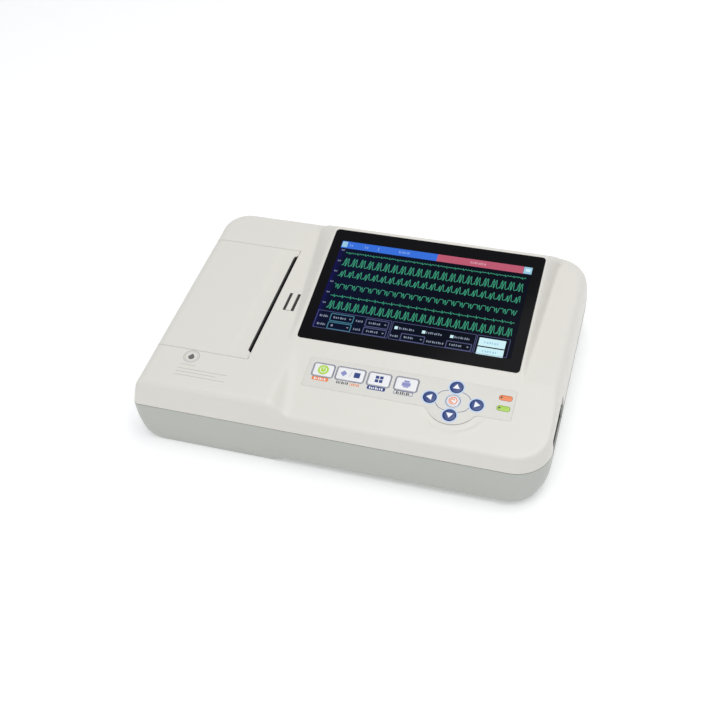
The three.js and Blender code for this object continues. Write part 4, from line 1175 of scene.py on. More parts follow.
def door_line(column_y):
    """The paper cover's skin along one line of constant y, from its lower edge to the slot."""
    line = skin_line(("left", 0, column_y))
    start = length_at_height(line, DOOR_LOW)
    end = arc_lengths(line)[-1]
    lengths = [start, start + 0.25, start + 0.6, start + 1.1]
    lengths.extend(np.linspace(start + 1.1, end, 22)[1:])
    wall = at_lengths(line, lengths)
    tail = 1 / (1 + np.exp((SLOT_BACK - column_y) / 0.5)) + 1 / (1 + np.exp((column_y - SLOT_FRONT) / 0.5))
    edge = DOOR_RIGHT - LIP_WIDTH
    right = edge + tail * (OPENING_RIGHT - 0.35 - edge)
    stops = np.concatenate([np.linspace(wall[-1, 0], -97, 16)[1:], np.linspace(-96, right - 1.1, 17)])
    stops = np.concatenate([stops, [right - 0.6, right - 0.25, right]])
    dip = SLOT_DIP * eased((stops - DIP_X) / DIP_RUN) * eased((DIP_HALF - abs(column_y)) / DIP_FADE)
    y = np.full(len(stops), column_y)
    return np.concatenate([wall, np.column_stack([stops, y, top_z(stops, y) - dip])])


def door_skin():
    loops = [COVER_HALF - g for g in (0.0, *EDGE_LOOPS)]
    middle = spaced(-COVER_HALF + 1.7, COVER_HALF - 1.7, 2.2)
    middle = np.unique(np.concatenate([middle, np.linspace(SLOT_FRONT - 1.5, SLOT_FRONT + 1.5, 7),
                                       np.linspace(SLOT_BACK - 1.5, SLOT_BACK + 1.5, 7)]).round(3))
    values = [-v for v in loops] + list(middle) + loops[::-1]
    rows = np.array([door_line(float(y)) for y in values])
    count, length = rows.shape[:2]
    faces = [(i * length + k, (i + 1) * length + k, (i + 1) * length + k + 1, i * length + k + 1)
             for i in range(count - 1) for k in range(length - 1)]
    mesh = welded(mesh_of(rows.reshape(-1, 3), faces), to_quads=False)
    points, normals = read_points(mesh)
    rights = np.interp(points[:, 1], values, rows[:, -1, 0])
    above = np.where(points[:, 0] < -HALF_X + INNER_INSET, points[:, 2] - DOOR_LOW, FAR)
    edges = [COVER_HALF - np.abs(points[:, 1]), rights - points[:, 0], above]
    write_points(mesh, round_over(points, normals, edges, settings().ecg_case.edge_drop / MM))
    return mesh


def piece_from(mesh, name):
    mesh.name = name
    obj = bpy.data.objects.new(name, mesh)
    bpy.context.scene.collection.objects.link(obj)
    return obj


def join_closed(obj, parts):
    """Adds closed solids to an object's mesh as they are."""
    points, faces = merged(parts)
    bm = bmesh.new()
    bm.from_mesh(obj.data)
    verts = [bm.verts.new(tuple(float(c) * MM for c in p)) for p in points]
    made = [bm.faces.new([verts[i] for i in f]) for f in faces]
    bmesh.ops.recalc_face_normals(bm, faces=made)
    bm.to_mesh(obj.data)
    bm.free()
    return obj


def rod_y(x, z, y0, y1, radius, sides=32, chamfer=0.3):
    profile = [(radius - chamfer, y0), (radius, y0 + chamfer), (radius, y1 - chamfer), (radius - chamfer, y1)]
    return turned(profile, (x, 0, z), 1, sides)


class ECG_OT_upper_case(bpy.types.Operator):
    """Builds the upper case: deck, keypad plane and display wedge in one skin with rounded openings"""
    bl_idname = "ecg.upper_case"
    bl_label = "Upper case"

    def execute(self, context):
        make_field()
        obj = thickened(piece_from(upper_skin(), "upper_case"), WALL)
        low, high = node_box("connector_bezel")
        y0, y1 = low[1] - PORT_GAP, high[1] + PORT_GAP
        carve(obj, [block(PORT_INNER, PORT_OUTER, y0, y1, 30, high[2] + PORT_GAP)])
        bosses = [rod_y(HINGE_X, HINGE_Z, y, y + BOSS_LENGTH, BOSS_RADIUS)
                  for y in (OPENING_HALF, -OPENING_HALF - BOSS_LENGTH)]
        join_closed(obj, bosses)
        finish_piece(obj, "ivory", "case", "ivory_plastic", 35)
        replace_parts(obj, "upper_housing")
        return {"FINISHED"}


class ECG_OT_paper_cover(bpy.types.Operator):
    """Builds the printer's hinged cover with its knuckle and the ears that carry the platen"""
    bl_idname = "ecg.paper_cover"
    bl_label = "Paper cover"

    def execute(self, context):
        obj = thickened(piece_from(door_skin(), "paper_cover"), WALL)
        hinge_x, _, hinge_z = node_centre("door_hinge_pin")
        platen_x, _, platen_z = node_centre("platen_shaft")
        knuckle = rod_y(hinge_x, hinge_z, -DOOR_HALF + 0.2, DOOR_HALF - 0.2, 2.6)
        ears = []
        for y0 in (-62.6, 60.2):
            outline = [(-98, DECK_Z - 1), (-90, 48)]
            outline += arc(platen_x, platen_z, 4.4, 1.15 * math.pi, 1.9 * math.pi, 10)
            outline += [(DOOR_RIGHT, 54), (DOOR_RIGHT, DECK_Z - 2.2)]
            ears.append(lofted([[(x, y, z) for x, z in outline] for y in (y0, y0 + 2.4)]))
        ribs = [block(-146, -100, y, y + 1.4, DECK_Z - 5.5, DECK_Z - WALL + 0.3)
                for y in (-40, -13.5, 13, 39.5)]
        join_closed(obj, [knuckle, *ears, *ribs])
        finish_piece(obj, "ivory", "door", "ivory_plastic", 35)
        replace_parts(obj, "paper_door")
        self.slot_lip()
        return {"FINISHED"}

    def slot_lip(self):
        """The lip along the cover's slot edge, with fine teeth like a tear edge; its black is painted shade,
        widening the slot's dark line.
        """
        teeth = []
        for i, y in enumerate(spaced(SLOT_FRONT + 0.3, SLOT_BACK - 0.3, 0.9)):
            top = float(top_z(DOOR_RIGHT, y)) - SLOT_DIP - 0.25
            left = DOOR_RIGHT - LIP_WIDTH - 0.3
            right = DOOR_RIGHT + (0.5 if i % 2 else 0.2)
            teeth.append([(left, y, top - 2.9), (right, y, top - 2.9), (right, y, top - 0.3),
                          (right - 0.3, y, top), (left, y, top)])
        points, faces = lofted(teeth)
        # the black here is painted shade down the paper slot
        store("cover_slot_lip", points, faces, "black", "door", "black_plastic")


class ECG_OT_release_button(bpy.types.Operator):
    """Builds the cover's release button with its flange; the flange and the blocks in the side gaps are black
    as painted shade in the gaps round the button
    """
    bl_idname = "ecg.release_button"
    bl_label = "Release button"

    def execute(self, context):
        low, high = node_box("release_button")
        centre_x, centre_y = (BUTTON_LEFT + BUTTON_RIGHT) / 2, (BUTTON_FRONT + BUTTON_BACK) / 2
        width, depth = BUTTON_RIGHT - BUTTON_LEFT, BUTTON_BACK - BUTTON_FRONT

        def outline(shrink):
            return rounded_rect(centre_x, centre_y, width - 0.5 - 2 * shrink, depth - 2 * shrink, 0.6, 5)

        def flange(shrink):
            grow = 2 * (BUTTON_FLANGE - shrink)
            return rounded_rect(centre_x, centre_y, width + 2 * BUTTON_GAP + grow, depth + grow, 0.6, 4)

        def upright(x, y, z):
            return x, y, z

        cap = rounded_slab(outline, CAP_FOOT, high[2], 0.7, crown=0.25, lift=upright)
        rim = rounded_slab(flange, RIM_LOW, RIM_HIGH, 0.2, lift=upright)
        # black blocks down the gaps beside the cap: painted shade, standing in for the shade in those gaps
        gap_shade_blocks = []
        for side in (-1, 1):
            x0, x1 = sorted(centre_x + side * (width / 2 + out) for out in (-0.3, BUTTON_GAP - 0.1))
            gap_shade_blocks.append(block(x0, x1, BUTTON_FRONT, BUTTON_BACK, RIM_HIGH - 0.1, DECK_Z - 0.3))
        stem = block(BUTTON_LEFT + 1.4, BUTTON_RIGHT - 1.4, 1.4, 5.6, low[2], CAP_FOOT + 0.5)
        cap = store("release_button_cap", *merged([cap, stem]), "ivory", "button", "ivory_plastic", 40)
        # the black flange and gap blocks paint the shade seen in the gaps round the button
        store("release_button_shade_skirt", *merged([rim, *gap_shade_blocks]), "black", "button", "black_plastic", 40)
        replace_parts(cap, "release_button")
        return {"FINISHED"}


# ---------------------------------------------------------------- the lower case
POST_HOLE, SCREW_WELL = 3.4, 3.1  # radii


def smooth_sections(sections, steps=5):
    """Catmull-Rom curve through the sections of a case."""
    rows = np.array(sections, float)
    padded = np.vstack([2 * rows[0] - rows[1], rows, 2 * rows[-1] - rows[-2]])
    out = []
    for i in range(1, len(padded) - 2):
        p0, p1, p2, p3 = padded[i - 1:i + 3]
        for t in np.linspace(0, 1, steps, endpoint=False):
            out.append(0.5 * ((2 * p1) + (p2 - p0) * t + (2 * p0 - 5 * p1 + 4 * p2 - p3) * t ** 2
                              + (3 * p1 - p0 - 3 * p2 + p3) * t ** 3))
    out.append(rows[-1])
    return out


def lower_solid(grow, steps=14):
    """The lower case's form, shrunk by a wall where grow is above 0."""
    rings = []
    sections = smooth_sections(LOWER_SECTIONS)
    last = len(sections) - 1
    for i, (z, *insets) in enumerate(sections):
        level = z + grow * (1 - i / last) if i < last else z + (1 if grow else 0)
        shrunk = [side + grow for side in insets]
        ring = []
        for corner, start in enumerate((math.pi, 1.5 * math.pi, 0, 0.5 * math.pi)):
            for angle in np.linspace(start, start + math.pi / 2, steps + 1):
                ring.append((*corner_point(corner, angle, shrunk), level))
        rings.append(ring)
    return lofted(rings)


def step_prism(grow):
    """What is taken off under the floor to the right of the printer."""
    low, far = -6.0, 180.0
    high = 2 + STEP_RISE + grow
    start = STEP_X - grow - STEP_RUN * (2 - low) / STEP_RISE
    outline = [(start, low), (far, low), (far, high), (STEP_X - grow + STEP_RUN, high)]
    return lofted([[(x, y, z) for x, z in outline] for y in (-130, 130)])


def hole_block(node, grow=0.3):
    """What is cut out of the back wall round a socket."""
    low, high = node_box(node)
    return block(low[0] - grow, high[0] + grow, BACK_INNER, BACK_OUTER, low[2] - grow, high[2] + grow)


class ECG_OT_lower_case(bpy.types.Operator):
    """Builds the lower case: a shell with socket holes, battery bay, screw wells and speaker slots"""
    bl_idname = "ecg.lower_case"
    bl_label = "Lower case"

    def execute(self, context):
        outer = carve(loose("lower_case", *lower_solid(0)), [step_prism(0)])
        subtract(outer, carve(loose("hollow", *lower_solid(WALL)), [step_prism(WALL)]))
        port_low, port_high = node_box("connector_bezel")
        cover_low, cover_high = node_box("battery_cover")
        post = node_centre("earth_post")
        wells = []
        for i in range(1, 7):
            x, y, _ = node_centre(f"housing_screw_{i}")
            wells.append(turned([(SCREW_WELL, -2), (SCREW_WELL, 9)], (x, y, 0), 2, 32))
        slots = [block(90, 110, -76 + d, -74.2 + d, 0, 9) for d in (-8, -4, 0, 4, 8)]
        tools = [
            *(hole_block(node) for node in ("mains_inlet", "network_socket", "usb_socket")),
            turned([(POST_HOLE, BACK_INNER), (POST_HOLE, BACK_OUTER)], (post[0], 0, post[2]), 1, 32),
            block(PORT_INNER, PORT_OUTER, port_low[1] - PORT_GAP, port_high[1] + PORT_GAP,
                  port_low[2] - PORT_GAP, 60),
            block(cover_low[0] - 0.4, cover_high[0] + 0.4, cover_low[1] - 0.4, cover_high[1] + 0.4, 0, 9),
        ]
        carve(outer, [merged(wells), merged(slots), *tools])
        bevel = outer.modifiers.new("edges", "BEVEL")
        bevel.width, bevel.segments = 0.3 * MM, 2
        bevel.limit_method, bevel.angle_limit = "ANGLE", math.radians(50)
        bevel.use_clamp_overlap = True
        with_modifiers(outer)
        (x0, y0), (x1, y1) = cover_low[:2] - 0.5, cover_high[:2] + 0.5
        wall = 2.5
        sides = ((x0 - wall, x1 + wall, y0 - wall, y0), (x0 - wall, x1 + wall, y1, y1 + wall),
                 (x0 - wall, x0, y0, y1), (x1, x1 + wall, y0, y1))
        join_closed(outer, [block(*side, 7.6, 24) for side in sides])
        finish_piece(outer, "grey", "case", "grey_plastic", 35)
        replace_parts(outer, "lower_housing")
        return {"FINISHED"}


# ---------------------------------------------------------------- the display
PICTURE_LOW, PICTURE_HIGH = 0.02, 0.05  # above the glass: the picture's ground and what it shows
OVERPRINT = (PICTURE_HIGH, PICTURE_HIGH + 0.02)


BEATS = {  # one heart beat of each trace: distances along it and heights, in millimetres
    "level": ((0, 0), (0.7, 0.9), (1.5, 0.2), (2.5, 0), (3.0, 1.3), (3.6, -0.8), (4.3, 0), (5.3, 1.0),
              (6.1, 0.1), (6.62, 0)),
    "tall": ((0, 0), (0.4, 0.2), (0.9, 1.4), (1.3, 0.1), (1.8, 5.6), (2.5, 8.0), (2.9, -0.6), (3.4, 0.2),
             (3.9, 6.6), (4.7, 7.6), (5.3, 0.6), (5.9, -0.4), (6.62, 0)),
    "middle": ((0, 0), (0.5, 0.3), (1.0, 1.2), (1.5, 0.1), (2.0, 3.4), (2.5, 5.2), (3.0, -0.9), (3.5, 0.2),
               (4.1, 5.4), (4.9, 6.6), (5.5, 0.5), (6.62, 0)),
    "inverted": ((0, 0), (0.9, 0.2), (1.4, -0.6), (2.0, -4.2), (2.5, -1.0), (3.0, 0), (3.6, -4.8),
                 (4.3, -4.0), (4.9, -0.4), (5.6, 0.3), (6.62, 0)),
    "small": ((0, 0), (1.0, 0.4), (1.7, 0), (2.3, -0.4), (2.8, 1.7), (3.3, -1.2), (4.0, 0.1),
              (4.8, 0.8), (5.6, 0), (6.62, 0)),
    "high": ((0, 0), (0.4, 0.3), (0.9, 1.6), (1.4, 0.1), (1.9, 5.2), (2.5, 7.8), (3.0, -0.9), (3.5, 0.2),
             (4.0, 6.8), (4.8, 7.4), (5.4, 0.6), (6.62, 0)),
}


TRACES = (("level", 31.8), ("tall", 19.0), ("middle", 7.9), ("inverted", 0.0), ("small", -12.0),
          ("high", -24.3))
TRACE_START, TRACE_BEATS, TRACE_PITCH = -71.2, 22, 6.62
LEAD_LABELS = (34.4, 23.1, 12.5, 1.6, -9.1, -19.6)


def trace_line(kind, level):
    """A whole trace, with slow drift of its level."""
    points = []
    for beat in range(TRACE_BEATS):
        for along, height in BEATS[kind][:-1]:
            u = TRACE_START + beat * TRACE_PITCH + along
            points.append((u, level + height + 0.12 * math.sin(u * 0.31 + level)))
    return points


def marks(u0, u1, v0, v1, count, ratio=0.55):
    """A row of small blocks that stands for a line of print, with no letters in it."""
    pitch = (u1 - u0) / count
    shapes = []
    for i in range(count):
        left = u0 + i * pitch
        width = pitch * (ratio + 0.17 * math.sin(i * 2.4 + u0))
        rise = (v1 - v0) * (0.22 if i % 3 == 1 else 0.0)
        shapes.append(bar(left, left + width, v0, v1 - rise))
    return shapes


def screen_print(name, shapes, material, low=PICTURE_LOW, high=PICTURE_HIGH):
    return store(name, *flat_print(shapes, low, high), material, "case", "display_panel")


class ECG_OT_display(bpy.types.Operator):
    """Builds the black cover glass and the picture of six traces with its bars and boxes"""
    bl_idname = "ecg.display"
    bl_label = "Display"

    def execute(self, context):
        def outline(shrink):
            return rounded_rect(0, 0, GLASS_WIDTH - 2 * shrink, GLASS_HEIGHT - 2 * shrink, GLASS_RADIUS, 8)

        slab = rounded_slab(outline, -GLASS_THICK, 0, 0.35)
        glass = store("display_cover_glass", *slab, "glass", "case", "display_glass", 40)
        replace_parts(glass, "display_glass")
        screen_print("picture_ground", [bar(-77, 77, -44.5, 43.8)], "picture", 0.004, PICTURE_LOW)

        width = settings().ecg_display.trace_width / MM
        lines = [ribbon(trace_line(kind, level), width, PICTURE_LOW, PICTURE_HIGH) for kind, level in TRACES]
        store("picture_traces", *merged(lines), "lit_trace", "case", "display_panel")

        self.title_bar()
        self.bottom_panel()
        return {"FINISHED"}

    def title_bar(self):
        low, high = 36.6, 43.75
        screen_print("picture_title_left", [bar(-76.9, 1.9, low, high)], "lit_blue")
        screen_print("picture_title_right", [bar(1.9, 70.4, low, high)], "lit_red")
        screen_print("picture_title_cell", [bar(70.6, 77.0, low + 0.2, high - 0.2)], "lit_cyan")
        screen_print("picture_title_icon", [bar(-76.6, -72.2, 37.6, 43.2)], "lit_cyan", *OVERPRINT)
        shapes = marks(-70.2, -67.2, 39, 41.4, 2) + marks(-57.6, -54.4, 39, 41.4, 2)
        shapes += [bar(-46.6, -45.8, 38.6, 41.8)] + marks(-29.4, -20, 39.2, 41.5, 7)
        screen_print("picture_title_marks", shapes, "lit_pale", *OVERPRINT)
        screen_print("picture_patient_marks", marks(28.7, 41.2, 39.2, 41.5, 8), "lit_rose", *OVERPRINT)
        screen_print("picture_title_battery", [bar(72.2, 75.8, 39.2, 41.6)], "lit_white", *OVERPRINT)
        labels = [s for v in LEAD_LABELS for s in marks(-75.2, -72.3, v - 0.7, v + 0.7, 3)]
        screen_print("picture_lead_labels", labels, "lit_label")

    def bottom_panel(self):
        bands = [(-76.2, -17.1), (-16.3, 48.2), (48.9, 73.8)]
        frames = [frame_print(a, b, -44.2, -27.4, 0.4, PICTURE_LOW, PICTURE_HIGH) for a, b in bands]
        upper, lower = (-36.3, -28.7), (-44.0, -36.9)
        teal = [(-65.4, -46.6, upper), (-65.4, -46.6, lower)]
        lilac = [(-37.3, -18.8, upper), (-37.3, -18.8, lower), (-7.7, 11, lower), (27.2, 46.8, lower)]
        for name, places, material in (("teal", teal, "lit_teal"), ("lilac", lilac, "lit_lilac")):
            outlines = [frame_print(a, b, *row, 0.75, PICTURE_LOW, PICTURE_HIGH, 0.9) for a, b, row in places]
            store(f"picture_fields_{name}", *merged(outlines), material, "case", "display_panel")
        store("picture_frames", *merged(frames), "lit_line", "case", "display_panel")
        buttons = [bar(50.9, 70.9, -36.9, -29.5), bar(50.9, 70.9, -44.7, -38.0)]
        screen_print("picture_buttons", buttons, "lit_white")
        screen_print("picture_ticks", [bar(u, u + 2.5, -34.3, -31.6) for u in (-14, 7.4, 29)], "lit_white")
        labels = marks(-73.7, -66.4, -33.4, -31.5, 5) + marks(-73.7, -66.4, -41.3, -39.4, 5)
        labels += marks(-44.7, -38.8, -33.4, -31.5, 4) + marks(-44.7, -38.8, -41.3, -39.4, 4)
        labels += marks(-15.4, -8.6, -41.6, -39.8, 4) + marks(12.6, 26, -41.6, -39.8, 9)
        for u in (-10.6, 10.6, 32.2):
            labels += marks(u, u + 12.4, -33.9, -32.0, 8)
        labels += marks(-62.6, -52, -33.4, -31.6, 6) + marks(-62.6, -60, -41.2, -39.4, 1)
        labels += marks(-34.4, -25, -33.4, -31.6, 6) + marks(-34.4, -25, -41.2, -39.4, 6)
        labels += marks(-5, 3, -41.2, -39.4, 5) + marks(30, 40, -41.2, -39.4, 6)
        upper_v, lower_v = -32.4, -40.4
        for u, v in ((-49.4, upper_v), (-49.4, lower_v), (-21.5, upper_v), (-21.5, lower_v), (8.2, lower_v),
                     (43.8, lower_v)):
            labels.append([(u - 1, v + 0.6), (u, v - 0.7), (u + 1, v + 0.6)])
        screen_print("picture_field_labels", labels, "lit_label")
        words = marks(55, 66.5, -34.2, -32.4, 6) + marks(55, 66.5, -42.3, -40.5, 6)
        screen_print("picture_button_marks", words, "lit_cyan", *OVERPRINT)


# ---------------------------------------------------------------- the keypad
FILM_PROUD = 0.1
PRINT = (FILM_PROUD - 0.02, FILM_PROUD + 0.03)
KEY_PRINT = (KEY_TOP - 0.02, KEY_TOP + 0.03)


def key_outline(node):
    u, v = console_place(node)
    return u, v, node_width(node), KEY_DEPTH


def key_cap(node, outline, material):
    """A key with a flange under the film and softly rounded edges."""
    cap = rounded_slab(outline, KEY_FOOT, KEY_TOP, 0.55, crown=0.18)
    flange = flat_print([outline(-0.7)], KEY_FOOT - 1.2, KEY_FOOT + 0.1)
    piece = store(f"{node}_cap", *merged([cap, flange]), material, node, material, 40)
    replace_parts(piece, node)


def film_piece():
    """The printed film with an opening for each key and lamp."""
    def outline(shrink):
        return panel_outline(-shrink)

    film = loose("keypad_film", *rounded_slab(outline, -0.9, FILM_PROUD, 0.1, steps=2, flat=True))
    holes = []
    for node in MAIN_KEYS:
        u, v, width, depth = key_outline(node)
        holes.append(rounded_rect(u, v, width + 0.9, depth + 0.9, KEY_RADIUS + 0.4, 6))
    for node in (*ARROW_KEYS, "key_centre"):
        u, v = console_place(node)
        holes.append(circle(u, v, node_width(node) / 2 + 0.45, 48))
    for node in LAMPS:
        u, v = console_place(node)
        holes.append(rounded_rect(u, v, node_width(node) + 0.3, LAMP_DEPTH + 0.3, 1.9, 6))
    carve(film, [flat_print(holes, -3, 3)])
    finish_piece(film, "film", "case", "panel_film", 40)
    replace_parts(film, "keypad_overlay")


def on_key(name, node, shapes, material, slot="key_white"):
    return store(name, *flat_print(shapes, *KEY_PRINT), material, node, slot)


class ECG_OT_keypad_film(bpy.types.Operator):
    """Builds the printed film with its key outlines, label boxes and lamps"""
    bl_idname = "ecg.keypad_film"
    bl_label = "Keypad film"

    def execute(self, context):
        film_piece()
        rings = []
        for node in MAIN_KEYS:
            u, v, width, depth = key_outline(node)
            outer = rounded_rect(u, v, width + 2.2, depth + 2.2, KEY_RADIUS + 1.0, 6)
            inner = rounded_rect(u, v, width + 1.2, depth + 1.2, KEY_RADIUS + 0.5, 6)
            rings.append(ring_print(outer, inner, *PRINT))
        store("key_outlines", *merged(rings), "ink", "case", "panel_film")

        def label(u0, u1, v0, v1):
            return rounded_rect((u0 + u1) / 2, (v0 + v1) / 2, u1 - u0, v1 - v0, 1.1, 5)

        self.film_print("label_power", [label(-62.8, -50, -91.2, -88.0)], "ink_orange")
        self.film_print("label_mode", [label(-20.3, -6.4, -91.2, -88.0)], "ink_blue")
        ring = ring_print(label(-0.3, 14.4, -91.3, -88.0), label(0.1, 14.0, -90.9, -88.4), *PRINT)
        store("label_print_box", *ring, "ink", "case", "panel_film")
        self.film_print("label_stop", marks(-33.4, -25.6, -90.9, -88.6, 6), "ink_orange")
        self.film_print("label_start", marks(-43.7, -34.4, -90.9, -88.6, 7), "ink_dark")
        self.film_print("label_print", marks(1.8, 12.4, -90.7, -88.7, 7), "ink_dark")
        self.film_print("label_power_marks", marks(-61, -51.8, -90.5, -88.7, 6), "ink_white", top=True)
        self.film_print("label_mode_marks", marks(-18.6, -8, -90.5, -88.7, 7), "ink_white", top=True)
        self.arrow_print()
        self.lamps()
        return {"FINISHED"}

    def film_print(self, name, shapes, material, top=False):
        lift = 0.03 if top else 0.0
        plates = flat_print(shapes, PRINT[0] + lift, PRINT[1] + lift)
        store(name, *plates, material, "case", "panel_film")

    def arrow_print(self):
        rings = []
        for node in ARROW_KEYS:
            u, v = console_place(node)
            radius = node_width(node) / 2
            rings.append(ring_print(circle(u, v, radius + 1.3), circle(u, v, radius + 0.35), *PRINT))
        store("arrow_halos", *merged(rings), "ink_halo", "case", "panel_film")
        centre_u, centre_v = console_place("key_centre")
        places = [console_place(node) for node in ("key_up", "key_right", "key_down", "key_left")]
        lines = []
        for (u0, v0), (u1, v1) in zip(places, places[1:] + places[:1]):
            start, end = np.array((u0, v0)), np.array((u1, v1))
            length = np.linalg.norm(end - start)
            ahead = (end - start) / length
            outward = (start + end) / 2 - (centre_u, centre_v)
            outward = outward / np.linalg.norm(outward)
            gap, bulge = 6.1, 1.2
            points = []
            for t in np.linspace(0, 1, 15):
                at = start + ahead * (gap + t * (length - 2 * gap))
                points.append(tuple(at + outward * bulge * math.sin(math.pi * t)))
            lines.append(ribbon(points, 0.5, *PRINT))
        store("arrow_links", *merged(lines), "ink", "case", "panel_film")
        ring = ring_print(circle(centre_u, centre_v, 6.3), circle(centre_u, centre_v, 5.85), *PRINT)
        store("centre_halo", *ring, "ink_halo", "case", "panel_film")

    def lamps(self):
        for node, material, slot in zip(LAMPS, ("amber", "green"), ("lamp_amber", "lamp_green")):
            u, v = console_place(node)
            width = node_width(node)

            def outline(shrink):
                return rounded_rect(u, v, width - 2 * shrink, LAMP_DEPTH - 2 * shrink, 1.8, 8)

            slab = rounded_slab(outline, -2.2, 0.5, 0.45, crown=0.15)
            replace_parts(store(f"{node}_lens", *slab, material, "case", slot, 40), node)
            dot = flat_print([circle(u - 2.9, v, 0.75, 20)], 0.3, 0.51)
            store(f"{node}_dot", *dot, "ink_dark", "case", slot)


class ECG_OT_main_keys(bpy.types.Operator):
    """Builds the four rectangular keys and the signs printed on them"""
    bl_idname = "ecg.main_keys"
    bl_label = "Main keys"

    def execute(self, context):
        for node in MAIN_KEYS:
            u, v, width, depth = key_outline(node)

            def outline(shrink):
                return rounded_rect(u, v, width - 2 * shrink, depth - 2 * shrink, KEY_RADIUS, 6)

            key_cap(node, outline, "key_white")
        u, v = console_place("key_power")
        on_key("power_disc", "key_power", [circle(u, v, 4.2, 40)], "ink_green")
        disc = (KEY_PRINT[0] + 0.03, KEY_PRINT[1] + 0.03)
        ring = arc(u, v, 2.3, math.radians(125), math.radians(415), 28)
        stem = [(u, v + 0.4), (u, v + 1.6), (u, v + 2.9)]
        sign = merged([ribbon(line, 0.55, *disc) for line in (ring, stem)])
        store("power_sign", *sign, "ink_white", "key_power", "key_white")
        u, v = console_place("key_start_stop")
        diamond = [(u - 7.6, v), (u - 5, v - 2.7), (u - 2.4, v), (u - 5, v + 2.7)]
        on_key("start_sign", "key_start_stop", [diamond], "ink_lilac")
        slash = ribbon([(u - 0.6, v - 2.6), (u + 0.2, v), (u + 1.0, v + 2.6)], 0.35, *KEY_PRINT)
        store("start_stop_slash", *slash, "ink_grey", "key_start_stop", "key_white")
        on_key("stop_sign", "key_start_stop", [rounded_rect(u + 5.1, v, 4.6, 4.6, 0.4, 3)], "ink_blue")
        u, v = console_place("key_mode")
        tiles = [rounded_rect(u + du, v + dv, 2.6, 2.6, 0.25, 3) for du in (-1.6, 1.6) for dv in (-1.6, 1.6)]
        on_key("mode_sign", "key_mode", tiles, "ink_blue")
        u, v = console_place("key_print")
        printer = [bar(u - 3.2, u + 3.2, v - 1.9, v + 1.1), bar(u - 2.0, u + 2.0, v + 1.35, v + 3.0),
                   bar(u - 2.0, u + 2.0, v - 3.1, v - 2.1)]
        on_key("print_sign", "key_print", printer, "ink_lilac")
        return {"FINISHED"}


class ECG_OT_arrow_keys(bpy.types.Operator):
    """Builds the four round arrow keys and the centre key"""
    bl_idname = "ecg.arrow_keys"
    bl_label = "Arrow keys"

    def execute(self, context):
        turns = {"key_up": 90, "key_down": -90, "key_left": 180, "key_right": 0}
        for node, degrees in turns.items():
            u, v = console_place(node)
            radius = node_width(node) / 2

            def outline(shrink):
                return circle(u, v, radius - shrink, 48)

            key_cap(node, outline, "key_blue")
            turn = math.radians(degrees)
            cos, sin = math.cos(turn), math.sin(turn)
            arrow = [(2.6, 0), (-1.5, 2.6), (-1.5, -2.6)]
            shape = [(u + a * cos - b * sin, v + a * sin + b * cos) for a, b in arrow]
            on_key(f"{node}_arrow", node, [shape], "ink_white", "key_blue")
        self.centre_key()
        return {"FINISHED"}

    def centre_key(self):
        u, v = console_place("key_centre")
        radius = node_width("key_centre") / 2

        def outline(shrink):
            return circle(u, v, radius - shrink, 48)

        key_cap("key_centre", outline, "key_white")
        swirl = ring_print(circle(u, v, 3.3, 36), circle(u, v, 2.5, 36), *KEY_PRINT)
        hand = ribbon(arc(u - 0.2, v - 0.1, 1.5, math.radians(20), math.radians(300), 18), 0.8, *KEY_PRINT)
        store("centre_sign", *merged([swirl, hand]), "ink_orange", "key_centre", "key_white")
        rim = ring_print(circle(u, v, 4.35, 40), circle(u, v, 4.05, 40), *KEY_PRINT)
        store("centre_rim", *rim, "ink_halo", "key_centre", "key_white")


# ---------------------------------------------------------------- marks on the deck
def on_deck(x, y, w=0.0):
    return x, y, float(top_z(x, y)) + w


class ECG_OT_deck_marks(bpy.types.Operator):
    """Builds the deck's small print: a plain roundel and four thin rules"""
    bl_idname = "ecg.deck_marks"
    bl_label = "Deck print"

    def execute(self, context):
        centre_x, centre_y = -119.0, -70.5
        print_depth = (-0.03, 0.03)
        dashes = []
        for i in range(22):
            start = 2 * math.pi * i / 22
            line = arc(centre_x, centre_y, 6.0, start, start + 0.19, 3)
            dashes.append(ribbon(line, 0.8, *print_depth, lift=on_deck))
        ring = ring_print(circle(centre_x, centre_y, 4.9, 40), circle(centre_x, centre_y, 4.65, 40),
                          *print_depth, lift=on_deck)
        store("deck_roundel_ring", *merged(dashes + [ring]), "ink_grey", "case", "ivory_plastic")
        drop = [(centre_x, centre_y + 3.1)]
        drop += arc(centre_x, centre_y - 0.6, 2.4, math.radians(25), math.radians(-205), 18)
        middle = flat_print([drop[::-1]], *print_depth, lift=on_deck)
        store("deck_roundel_middle", *middle, "ink_mid", "case", "ivory_plastic")
        rules = [(-124.5, -112.5, -79.2), (-125.3, -85.3, -83.4), (-125.3, -93.2, -86.6),
                 (-125.3, -85.3, -89.9)]
        lines = [ribbon([(x, y) for x in spaced(a, b, 4)], 0.34, *print_depth, lift=on_deck)
                 for a, b, y in rules]
        store("deck_rules", *merged(lines), "ink_grey", "case", "ivory_plastic")
        return {"FINISHED"}


